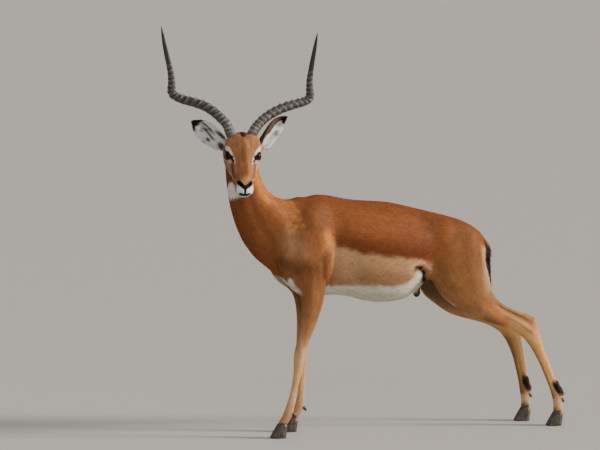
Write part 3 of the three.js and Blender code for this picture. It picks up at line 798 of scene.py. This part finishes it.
def hair_material(name, roughness, tint_depth, bump):
    """Hair whose colour comes from the piece's own markings and painted light and shade, broken up by its
    grain.
    """
    material, tree, shader = new_material(name)
    markings = add(tree, "Attribute", attribute_name="coat")
    place = add(tree, "TexCoord", out="Object")
    tint = add(tree, "Group", {"Place": place, "Hair Size": 620, "Tint Depth": tint_depth},
               node_tree=hair_grain)
    tinted = add(tree, "VectorMath", {0: markings, "Scale": tint}, operation="SCALE")
    relief = add(tree, "Bump", {"Strength": bump, "Distance": 0.0006, "Height": tint.node.outputs["Height"]})
    plug(shader, {"Base Color": tinted, "Normal": relief, "Roughness": roughness, "Specular IOR Level": 0.16})
    return material, tree, shader


hide_finish, tree, shader = hair_material("hide", 0.62, 0.35, 0.5)
moist = add(tree, "Attribute", out="Fac", attribute_name="bare")
plug(shader, {"Roughness": add(tree, "MapRange", {"Value": moist, "To Min": 0.62, "To Max": 0.42})})
skin.data.materials.clear()
skin.data.materials.append(hide_finish)
skin.data.shade_smooth()

# ---- The coat ----
# Short hair over the whole skin, in thin ridged locks that overlap and lie along the body: back from
# the muzzle, down the neck and legs, and back along the trunk. It is longest on the tail, glands and belly.
# For each kind of part: length and width in mm, locks to a square cm, and degrees off the skin
hair = {"trunk": (14, 1.7, 13, 5), "neck": (14, 1.6, 14, 6), "shoulder": (12, 1.5, 14, 5),
        "thigh": (12, 1.5, 14, 5), "head": (5.5, 0.85, 30, 7), "gaskin": (9, 1.2, 19, 6),
        "forearm": (8, 1.1, 20, 6), "cannon": (6, 1.0, 24, 6), "pastern": (8, 1.1, 24, 9),
        "ear": (6, 0.9, 22, 9), "tail": (42, 1.7, 30, 9), "scrotum": (4, 0.9, 16, 6)}
coat_pieces = {"coat_trunk_left": ["trunk"], "coat_trunk_right": ["trunk"], "coat_neck": ["neck"],
               "coat_quarters": ["shoulder", "thigh"], "coat_head": ["head"], "coat_ears": ["ear"],
               "coat_forelegs": ["forearm", "cannon", "pastern"],
               "coat_hindlegs": ["gaskin", "cannon", "pastern"],
               "coat_tail": ["tail", "scrotum"]}


def take_up(piece):
    """Makes this the one piece that operators act on."""
    bpy.ops.object.select_all(action="DESELECT")
    piece.select_set(True)
    bpy.context.view_layer.objects.active = piece


# An unwrap of the skin, on which each lock takes the place of its root
take_up(skin)
edit()
skin.data.uv_layers.new(name="OFBake")
bpy.ops.uv.smart_project(angle_limit=math.radians(66), island_margin=0.001)
leave()

# The lie of the hair follows lines drawn from front to back and from top to bottom
body_flow = [[(-230, 0, 830), (-100, 0, 880), (0, 0, 905), (270, 0, 867), (535, 0, 799), (640, 0, 745),
              (675, 0, 690)],
             [(-60, 95, 700), (60, 100, 690), (270, 125, 660), (440, 115, 640), (560, 100, 590)],
             [(-190, 0, 610), (-90, 0, 530), (60, 0, 515), (270, 0, 485), (400, 0, 540)],
             [(-40, 60, 840), (150, 90, 790), (400, 90, 760), (600, 60, 710)],
             [(-350, 0, 980), (-330, 0, 900), (-300, 0, 830), (-245, 0, 720), (-190, 0, 640), (-140, 0, 570)],
             [(-296, 55, 1010), (-286, 60, 950), (-240, 75, 860), (-160, 85, 770), (-90, 90, 690)],
             [(-240, 0, 1040), (-215, 0, 960), (-160, 0, 890), (-60, 0, 895)],
             [(-40, 90, 800), (-30, 95, 700), (-40, 95, 610), (-54, 85, 560)],
             [(540, 100, 760), (560, 100, 660), (590, 95, 560), (650, 88, 470)],
             [(665, 40, 720), (655, 45, 620), (640, 60, 520)]]
foreleg_flow = [(-60, 85, 640), (-54, 85, 560), (-49, 85, 516), (-58, 82, 455), (-74, 79, 395),
                (-90, 77, 340), (-97, 76, 304), (-101, 76, 262), (-110, 76, 215), (-125, 75, 150),
                (-138, 75, 100), (-166, 75, 48)]
hindleg_flow = [(575, 82, 517), (624, 87, 470), (682, 88, 432), (740, 86, 403), (790, 85, 374),
                (820, 85, 345), (839, 84, 305), (865, 83, 250), (891, 82, 188), (908, 81, 145),
                (920, 80, 112), (924, 80, 48)]
head_flow = [[(175, 0, 0), (140, 14, 0), (60, 24, 0), (-25, 45, 0), (-70, 50, 0)],
             [(160, -12, 28), (110, -8, 38), (35, -6, 54), (-20, -6, 70), (-70, 0, 66)],
             [(160, -58, 0), (100, -68, 0), (50, -80, 0), (-45, -104, 0)],
             [(110, -45, 34), (40, -50, 52), (-40, -60, 60)],
             [(30, 20, 40), (0, 34, 44), (-50, 40, 50)]]


def flow_field(points, lines):
    """The way the hair lies at each point, from the lines nearest to it."""
    total = np.zeros_like(points)
    for line in lines:
        for start, end in zip(line[:-1], line[1:]):
            for part in (0.25, 0.75):
                way = np.subtract(end, start)
                gap = ((points - (np.array(start) + way * part)) ** 2).sum(axis=1) + 30
                total += unit(way) * (1 / gap ** 2)[:, None]
    return unit(total)


mirrored = np.stack([np.where(x > -230, side_x, x), np.abs(y), z], 1)
lie = flow_field(mirrored, body_flow + [foreleg_flow, hindleg_flow])
lie[:, 1] *= np.where(y < 0, -1, 1)
head_lie = flow_field(folded, head_flow)
head_lie[:, 2] *= np.where(w < 0, -1, 1)
lie = lie + (head_lie @ skull - lie) * (head > 0.5)[:, None]
lie = np.where((ear > 0.5)[:, None], ear_up, lie)
lie = np.where((tail > 0.4)[:, None], [0.0, 0.0, -1.0], lie)
lie = lie - normals * (lie * normals).sum(axis=1)[:, None]
lie = lie / np.maximum(np.linalg.norm(lie, axis=1), 1e-6)[:, None]

length, width, thickness, lift = by_kind(share, hair)
belly_hair = trunk * edge(out_z, -0.5, -0.9)
brisket_hair = (trunk + neck) * edge(z, 640, 560) * edge(side_x, 0, -60)
gland_hair = lower * edge(gland, 16, 12)
crown_hair = head * edge(np.hypot(w - 2, below + 76), 12, 7)
ear_hair = ear * ear_inside * edge(ear_share, 0.9, 0.6)
heel_hair = pastern * edge(out_x, 0.2, 0.7)
rump_hair = rump * edge(side_x, 610, 650) * edge(z, 480, 560)
face_front = head * edge(d, 90, 150)
length = length * (1 + 0.4 * belly_hair + 0.8 * brisket_hair + 1.7 * gland_hair + 0.5 * crown_hair
                   + 1.6 * ear_hair + 1.0 * heel_hair + 0.9 * rump_hair - 0.45 * face_front)
length = np.where(tail > 0.3, np.minimum(length, np.maximum(z - 424, 5)), length)
lift = lift + 4 * (belly_hair + brisket_hair) + 30 * gland_hair + 6 * (crown_hair + rump_hair) + 9 * ear_hair
width = width * (1 - 0.25 * face_front)
thickness = thickness * (1 + 1.8 * gland_hair + 1.0 * crown_hair + 0.6 * face_front)
thickness = thickness * (bare < 0.4) * (around_eye > 1.12)

tri_points = read(skin.data.polygons, "vertices", 3, int)
unwrap = read(skin.data.uv_layers["OFBake"].uv, "vector", 2).reshape(-1, 3, 2)
edges_a = points[tri_points[:, 1]] - points[tri_points[:, 0]]
edges_b = points[tri_points[:, 2]] - points[tri_points[:, 0]]
tri_area = np.linalg.norm(np.cross(edges_a, edges_b), axis=1) / 200  # square cm
tri_kind = share[tri_points].sum(axis=1).argmax(axis=1)
coat_finish = hair_material("coat_hair", 0.58, 0.25, 0.25)[0]
lock_corners = np.array([[0, -1], [0, 1], [0.5, -0.85], [0.5, 0], [0.5, 0.85], [1, 0]])  # along, across
lock_faces = np.array([[0, 3, 1], [0, 2, 3], [1, 3, 4], [2, 5, 3], [3, 5, 4]])


def grow(name, chosen, seed):
    """One piece of the coat: ridged locks rooted all over the chosen triangles."""
    chance = np.random.default_rng(seed)
    weights = tri_area * thickness[tri_points].mean(axis=1) * chosen
    count = int(min(weights.sum(), 39500))
    picked = chance.choice(len(weights), count, p=weights / weights.sum())
    a, b = chance.random((2, count))
    a, b = np.where(a + b > 1, 1 - a, a), np.where(a + b > 1, 1 - b, b)
    mix = np.stack([1 - a - b, a, b], 1)
    own = tri_points[picked]

    def at_root(values):
        return (values[own] * mix.reshape(mix.shape + (1,) * (values.ndim - 1))).sum(axis=1)

    root, up, way = at_root(points), at_root(normals), at_root(lie)
    up = unit(up)
    aside = np.cross(up, way)
    way = way + aside * (chance.normal(size=count) * 0.11)[:, None]
    way = way - up * (way * up).sum(axis=1)[:, None]
    way = way / np.maximum(np.linalg.norm(way, axis=1), 1e-6)[:, None]
    aside = np.cross(up, way)
    long = at_root(length) * chance.uniform(0.7, 1.2, count)
    wide = at_root(width) * chance.uniform(0.75, 1.2, count) * 0.5
    slope = np.radians(at_root(lift) * chance.uniform(0.5, 1.6, count))
    along, across = lock_corners.T
    rise = np.stack([-0.5 + 0 * long, -0.5 + 0 * long, 0.35 + 0.5 * long * np.sin(slope),
                     0.75 + 0.55 * long * np.sin(slope), 0.35 + 0.5 * long * np.sin(slope),
                     0.1 + 0.85 * long * np.sin(slope)], 1)
    run = long[:, None] * along * np.cos(slope)[:, None]
    corners = (root[:, None] + way[:, None] * run[..., None]
               + aside[:, None] * (wide[:, None] * across)[..., None]
               + up[:, None] * rise[..., None])
    corners = np.clip(corners, box_low, box_high)
    bend = (up[:, None] + aside[:, None] * (0.3 * across)[None, :, None]
            + way[:, None] * (0.10 * along)[None, :, None])
    faces = (np.arange(count)[:, None, None] * 6 + lock_faces).reshape(-1, 3)
    mesh = bpy.data.meshes.new(name)
    mesh.from_pydata((corners.reshape(-1, 3) + withers) / 1000, [], faces)
    mesh.shade_smooth()
    tint = at_root(coat)[:, None] * np.array([0.86, 0.86, 1.0, 1.06, 1.0, 1.12])[None, :, None]
    tint = tint * (1 + 0.14 * chance.normal(size=(count, 1, 1)))
    give_colours(mesh, "coat", np.clip(tint, 0.001, 0.95).reshape(-1, 3))
    place = (unwrap[picked] * mix[..., None]).sum(axis=1)
    patch = place[:, None] + np.stack([across * 0.0015, (along - 0.5) * 0.003], 1)[None]
    layer = mesh.uv_layers.new(name="OFBake")
    layer.uv.foreach_set("vector", patch[:, lock_faces.ravel()].astype(np.float32).ravel())
    mesh.normals_split_custom_set_from_vertices(unit(bend).reshape(-1, 3))
    mesh.materials.append(coat_finish)
    piece = put_in(name, mesh)
    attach(piece, "root")


# No hair passes the box round the solids
box_low, box_high = np.array([list(corner) for corner in cad_box]) * 1000 - withers
tri_y = points[tri_points][:, :, 1].mean(axis=1)
tri_x = points[tri_points][:, :, 0].mean(axis=1)
for seed, (name, own_kinds) in enumerate(coat_pieces.items()):
    chosen = np.isin(tri_kind, [kinds.index(kind) for kind in own_kinds])
    if "trunk" in name:
        chosen &= (tri_y < 0) == ("left" in name)
    if "legs" in name:
        chosen &= (tri_x < 300) == ("fore" in name)
    grow(name, chosen, 100 + seed)

# ---- The horns ----
# Two hollow sheaths of horn, ringed over most of their length and smooth at the tips. Each is drawn as a loft
# of rings along a curve, worn paler on the crests of its rings and towards the root, with painted light on
# its upper side and painted shade just past each crest.
horn_lines = {
    "right": [(-18, 50, 33), (-19, 76, 45), (-30, 111, 61), (-44, 130, 79), (-62, 152, 105), (-82, 170, 135),
              (-106, 182, 172), (-131, 191, 216), (-141, 198, 236), (-147, 206, 251), (-149, 219, 258),
              (-147, 248, 259), (-143, 276, 262), (-134, 312, 270), (-124, 353, 282), (-113, 395, 293),
              (-100, 463, 308)],
    "left": [(-18, 50, -22), (-18, 80, -34), (-28, 106, -50), (-46, 135, -80), (-66, 155, -112),
             (-92, 172, -154), (-118, 184, -198), (-141, 195, -240), (-148, 206, -256), (-150, 225, -258),
             (-149, 244, -256), (-145, 272, -255), (-139, 304, -257), (-131, 338, -260), (-120, 380, -265),
             (-100, 453, -273)]}
horn_radius = ([0, 0.05, 0.12, 0.21, 0.3, 0.38, 0.47, 0.57, 0.64, 0.72, 0.8, 0.88, 0.95, 1],
               [22, 21.5, 19.8, 19.4, 19.2, 19, 17.8, 16.2, 13.4, 11.8, 10.4, 8.6, 5.6, 1.2])
# Where along the horn each ring stands: close at the root, wide in the sweep, close again at the bend
ring_shares = [0.03, 0.052, 0.075, 0.098, 0.122, 0.148, 0.178, 0.212, 0.252, 0.297, 0.345, 0.395, 0.442,
               0.485, 0.52, 0.55, 0.578, 0.606, 0.636, 0.668, 0.702, 0.74]
ring_heights = ([0, 0.14, 0.28, 0.45, 0.56, 0.66, 0.76], [2.6, 3.0, 4.8, 6.2, 5.4, 3.8, 2.0])
ringed_share, ring_lean = 0.76, 0.022
rows, spokes = 560, 44


def through(places, steps):
    """Even steps along a smooth curve through the places."""
    places = np.array(places, float)
    padded = np.vstack([2 * places[0] - places[1], places, 2 * places[-1] - places[-2]])
    turn = []
    for i in range(len(places) - 1):
        knots = np.append(0, np.cumsum(np.sqrt(np.linalg.norm(np.diff(padded[i:i + 4], axis=0), axis=1))))
        for t in np.linspace(knots[1], knots[2], 60, endpoint=False):

            def between(p, q, start, end):
                return (p * (knots[end] - t) + q * (t - knots[start])) / (knots[end] - knots[start])

            legs = [between(padded[i + k], padded[i + k + 1], k, k + 1) for k in range(3)]
            turn.append(between(between(legs[0], legs[1], 0, 2), between(legs[1], legs[2], 1, 3), 1, 2))
    turn = np.array(turn + [places[-1]])
    run = np.concatenate([[0], np.cumsum(np.linalg.norm(np.diff(turn, axis=0), axis=1))])
    at = np.linspace(0, run[-1], steps)
    return np.stack([np.interp(at, run, turn[:, k]) for k in range(3)], 1)


def sheath_mesh(name, points, rows, spokes, tip):
    """A closed tube from rings of points, with a point at its end."""
    faces = [(r * spokes + s, r * spokes + (s + 1) % spokes, (r + 1) * spokes + (s + 1) % spokes,
              (r + 1) * spokes + s)
             for r in range(rows - 1) for s in range(spokes)]
    top = len(points)
    faces += [((rows - 1) * spokes + s, (rows - 1) * spokes + (s + 1) % spokes, top) for s in range(spokes)]
    faces.append(tuple(reversed(range(spokes))))
    mesh = bpy.data.meshes.new(name)
    mesh.from_pydata([tuple(p) for p in (np.vstack([points, tip]) + withers) / 1000], [], faces)
    mesh.shade_smooth()
    return put_in(name, mesh)


def ramp(tree, value, stops):
    """A colour for each value, from stops of (value, colour)."""
    out = add(tree, "ValToRGB", {"Fac": value})
    tones = out.node.color_ramp.elements
    for at in [stop[0] for stop in stops[2:]]:
        tones.new(at)
    for tone, (at, tint) in zip(tones, stops):
        tone.position = at
        tone.color = (*tint, 1)
    return out


horn_finish, tree, shader = new_material("horn_sheath")
wear_and_painted_light = add(tree, "Attribute", out="Fac", attribute_name="wear_and_painted_light")
along_horn = add(tree, "Attribute", out="Vector", attribute_name="fibre")
place = add(tree, "TexCoord", out="Object")
blotches = add(tree, "TexNoise", {"Vector": place, "Scale": 70, "Detail": 6, "Roughness": 0.7})
fibres = add(tree, "TexNoise", {"Vector": along_horn, "Scale": 1, "Detail": 4})
worn = add(tree, "Math", {0: wear_and_painted_light, 1: blotches}, operation="MULTIPLY")
tones = ramp(tree, worn, [(0.06, srgb(32, 28, 27)), (0.26, srgb(84, 79, 76)), (0.62, srgb(168, 162, 154))])
streak = add(tree, "MapRange", {"Value": fibres, "From Min": 0.3, "From Max": 0.7, "To Min": 0.72,
                                "To Max": 1.2})
streaked = add(tree, "VectorMath", {0: tones, "Scale": streak}, operation="SCALE")
dullness = add(tree, "MapRange", {"Value": wear_and_painted_light, "To Min": 0.36, "To Max": 0.62})
relief = add(tree, "Bump", {"Strength": 0.6, "Distance": 0.0009, "Height": fibres})
plug(shader, {"Base Color": streaked, "Roughness": dullness, "Normal": relief})

for which, line in horn_lines.items():
    centres = eye_middle + through(line, rows) @ level
    share_along = np.linspace(0, 1, rows)
    way = unit(np.gradient(centres, axis=0))
    # The back of the horn, carried along without twisting
    backs = [unit(way[0] * (level[0] @ way[0]) - level[0])]
    for step in way[1:]:
        backs.append(unit(backs[-1] - step * (backs[-1] @ step)))
    backs = np.array(backs)
    sides = np.cross(way, backs)
    # The rings: each rises slowly from below and drops off sharply above, and is boldest in front
    # and stands nearer the tip on the lower side than on the upper
    turn = np.linspace(0, 2 * math.pi, spokes, endpoint=False)
    spoke = backs[:, None] * np.cos(turn)[None, :, None] + sides[:, None] * np.sin(turn)[None, :, None]
    upper = spoke @ crown * 0.75 + spoke @ ahead * 0.6
    leant = share_along[:, None] - ring_lean * (1 - upper) * edge(share_along, 0.1, 0.3)[:, None]
    ring_place = np.interp(leant, ring_shares, np.arange(len(ring_shares)), 0, len(ring_shares) - 1)
    within = ring_place % 1
    crest = np.where(within < 0.7, (within / 0.7) ** 1.6, ((1 - within) / 0.3) ** 1.1)
    crest = crest * edge(leant, ring_shares[0], ring_shares[2])
    crest = crest * edge(leant, ring_shares[-1] + 0.02, ring_shares[-3])
    radius = np.interp(share_along, *horn_radius)
    toward_front = np.clip(0.55 + 0.45 * upper, 0.12, 1)
    grid = np.stack([ring_place * 40, np.cos(turn) * 9 + 0 * ring_place,
                     np.sin(turn) * 9 + 0 * ring_place], 2)
    uneven = wander(grid.reshape(-1, 3), 14, 21).reshape(ring_place.shape)
    boldness = np.interp(share_along, *ring_heights)[:, None]
    reach = radius[:, None] * 0.945 + crest * toward_front * (boldness + 0.9 * uneven)
    rings = (centres[:, None] + backs[:, None] * (np.cos(turn)[None, :, None] * reach[..., None])
             + sides[:, None] * (0.92 * np.sin(turn)[None, :, None] * reach[..., None]))
    sheath = sheath_mesh(f"sheath_{which}", rings.reshape(-1, 3), rows, spokes, centres[-1] + way[-1] * 1.0)
    # Real wear, paler on the ring crests and at the root, mixed with painted light on the upper side and
    # painted shade in the drop behind each crest
    worn = 0.19 + 0.36 * crest * toward_front + 0.12 * uneven + 0.14 * upper
    worn = worn + 0.3 * edge(share_along, 0.24, 0.04)[:, None] * (0.5 + 0.5 * upper)
    worn = worn - 0.3 * edge(within, 0.78, 0.95) * edge(share_along, ringed_share, 0.66)[:, None]
    worn = np.clip(worn, 0, 1) * (1 - 0.45 * edge(share_along, 0.76, 0.86)
                                  - 0.3 * edge(share_along, 0.88, 0.96))[:, None]
    give_values(sheath.data, "wear_and_painted_light", np.append(worn.ravel(), 0.05))
    fibre = np.stack([np.cos(turn) * 14 + 0 * ring_place, np.sin(turn) * 14 + 0 * ring_place,
                      share_along[:, None] * 22 + 0 * ring_place], 2).reshape(-1, 3)
    layer = sheath.data.attributes.new("fibre", "FLOAT_VECTOR", "POINT")
    layer.data.foreach_set("vector", np.vstack([fibre, fibre[-1]]).astype(np.float32).ravel())
    sheath.data.materials.append(horn_finish)
    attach(sheath, "root")
    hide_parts(f"horn_{which}")

# ---- The eyes ----
# Dark brown eyes with a level slot of a pupil, as glossy as glass. Each is a ball seated in its
# socket, where the lids of the skin lie over its rim.
eye_finish, tree, shader = new_material("eye_glass")
iris = add(tree, "Attribute", out="Fac", attribute_name="iris")
tones = ramp(tree, iris, [(0.30, (0.002, 0.002, 0.003)), (0.40, (0.016, 0.008, 0.004)),
                          (0.70, (0.010, 0.005, 0.003)), (0.92, (0.010, 0.006, 0.004))])
flecks = add(tree, "TexNoise", {"Vector": add(tree, "TexCoord", out="Object"), "Scale": 420})
fleck_depth = add(tree, "MapRange", {"Value": flecks, "To Min": 0.6, "To Max": 1.5})
flecked = add(tree, "VectorMath", {0: tones, "Scale": fleck_depth}, operation="SCALE")
plug(shader, {"Base Color": flecked, "Roughness": 0.05, "Specular IOR Level": 0.16})
for which, side in (("right", 1), ("left", -1)):
    seat, looks, runs, across = (way @ skull for way in eye_axes(side))
    middle_place = eye_middle + seat
    bpy.ops.object.select_all(action="DESELECT")
    bpy.ops.mesh.primitive_uv_sphere_add(segments=64, ring_count=40, radius=eye_radius / 1000,
                                         location=(middle_place + withers) / 1000)
    ball = bpy.context.object
    ball.name = f"eyeball_{which}"
    bpy.ops.object.transform_apply(location=True, rotation=True, scale=True)
    bpy.ops.object.shade_smooth()
    spoke = unit(places(ball.data) - middle_place)
    flat = np.stack([spoke @ runs * 0.72, spoke @ across * 1.25], 1)
    give_values(ball.data, "iris", np.clip(np.linalg.norm(flat, axis=1) * 1.15 + (spoke @ looks < 0), 0, 1))
    ball.data.materials.append(eye_finish)
    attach(ball, "root")
    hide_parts(f"eye_{which}")

# ---- The hooves ----
# Black horn claws, two to a foot, flat on the ground, with a pair of small dewclaws behind the
# fetlock. Each is its solid welded and worn smooth, with fine growth rings round it.
hoof_finish, tree, shader = new_material("hoof_horn")
place = add(tree, "TexCoord", out="Object")
growth = add(tree, "TexWave", {"Vector": place, "Scale": 70, "Distortion": 2.2, "Detail": 3}, out="Fac",
             wave_type="BANDS", bands_direction="Z")
dust = add(tree, "TexNoise", {"Vector": place, "Scale": 120, "Detail": 6})
tones = ramp(tree, dust, [(0.36, srgb(34, 29, 26)), (0.72, srgb(92, 78, 64))])
relief = add(tree, "Bump", {"Strength": 0.35, "Distance": 0.0006, "Height": growth})
plug(shader, {"Base Color": tones, "Roughness": 0.42, "Normal": relief})
for name in sorted(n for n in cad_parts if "hoof" in n or "claw" in n):
    shell = put_in(f"{name}_horn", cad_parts[name].data.copy())
    take_up(shell)
    weld(shell, 0.0013 if "hoof" in name else 0.0009)
    rough = places(shell.data)
    worn = relax(rough, pairs_of(shell.data), 0.5, 10)
    on_ground = rough[:, 2] < 1.0
    worn[:, 2] = np.where(on_ground, 0, np.maximum(worn[:, 2], 0))
    worn[:, :2] = np.where(on_ground[:, None], rough[:, :2] * 0.6 + worn[:, :2] * 0.4, worn[:, :2])
    settle(shell.data, worn)
    shell.data.shade_smooth()
    shell.data.materials.clear()
    shell.data.materials.append(hoof_finish)
    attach(shell, "root")
    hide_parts(name)

# ---- The floor, the light and the camera ----
# The model stands on a pale floor under soft lamps, seen from its left front at a distance.
bpy.ops.object.select_all(action="DESELECT")
bpy.ops.mesh.primitive_plane_add(size=60, location=(0, 0, 0))
floor = bpy.context.object
floor.name = "floor"
floor_finish, tree, shader = new_material("floor_paint")
plug(shader, {"Base Color": (0.56, 0.55, 0.53, 1), "Roughness": 0.85})
floor.data.materials.append(floor_finish)

azimuth, elevation = math.radians(-18), math.radians(7)
distance = 20.0
scale = 0.267  # in a frame 600 wide
to_camera = Vector((math.sin(azimuth) * math.cos(elevation), -math.cos(azimuth) * math.cos(elevation),
                    math.sin(elevation)))
eye_point = bpy.data.cameras.new("camera")
camera = put_in("camera", eye_point)
camera.location = Vector((0.15 + withers[0] / 1000, withers[1] / 1000, 0.45)) + to_camera * distance
camera.rotation_euler = to_camera.to_track_quat("Z", "Y").to_euler()
eye_point.sensor_width = 36
eye_point.lens = 36 * distance * scale / 0.6
eye_point.clip_end = 200
aim_x = 318 + scale * 150 * math.cos(azimuth)
aim_y = 433.2 - scale * (450 * math.cos(elevation) - 150 * math.sin(azimuth) * math.sin(elevation))
eye_point.shift_x = (300 - aim_x) / 600
eye_point.shift_y = (aim_y - 225) / 600
bpy.context.scene.camera = camera

world = bpy.data.worlds.new("room")
world.use_nodes = True
plug(world.node_tree.nodes["Background"], {"Color": (1.0, 0.985, 0.96, 1), "Strength": 0.43})
bpy.context.scene.world = world
for name, kind, place, strength, size, tint in [
    ("key", "SUN", (4.4, -1.7, 2.3), 4.8, 0.2, (1.0, 0.90, 0.76)),
    ("fill", "AREA", (-1.0, -5.0, 2.2), 60, 3.0, (0.97, 0.98, 1.0))]:
    lamp = bpy.data.lights.new(name, kind)
    lamp.energy, lamp.color = strength, tint
    if kind == "SUN":
        lamp.angle = size
    else:
        lamp.size = size
    holder = put_in(name, lamp)
    holder.location = place
    holder.rotation_euler = (Vector(place) - Vector((0, 0, 0.7))).to_track_quat("Z", "Y").to_euler()

# ---- The finished skin ----
# Under the coat the skin is brought to fewer faces. The lids, nostrils and lips stay as fine as
# they were modelled. The one skin stands for all the flesh of the form.
skin_triangles = 194000
take_up(skin)
thin(~at_eyes_or_nose(places(skin.data)), skin_triangles)
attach(skin, "root")
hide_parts(*flesh)
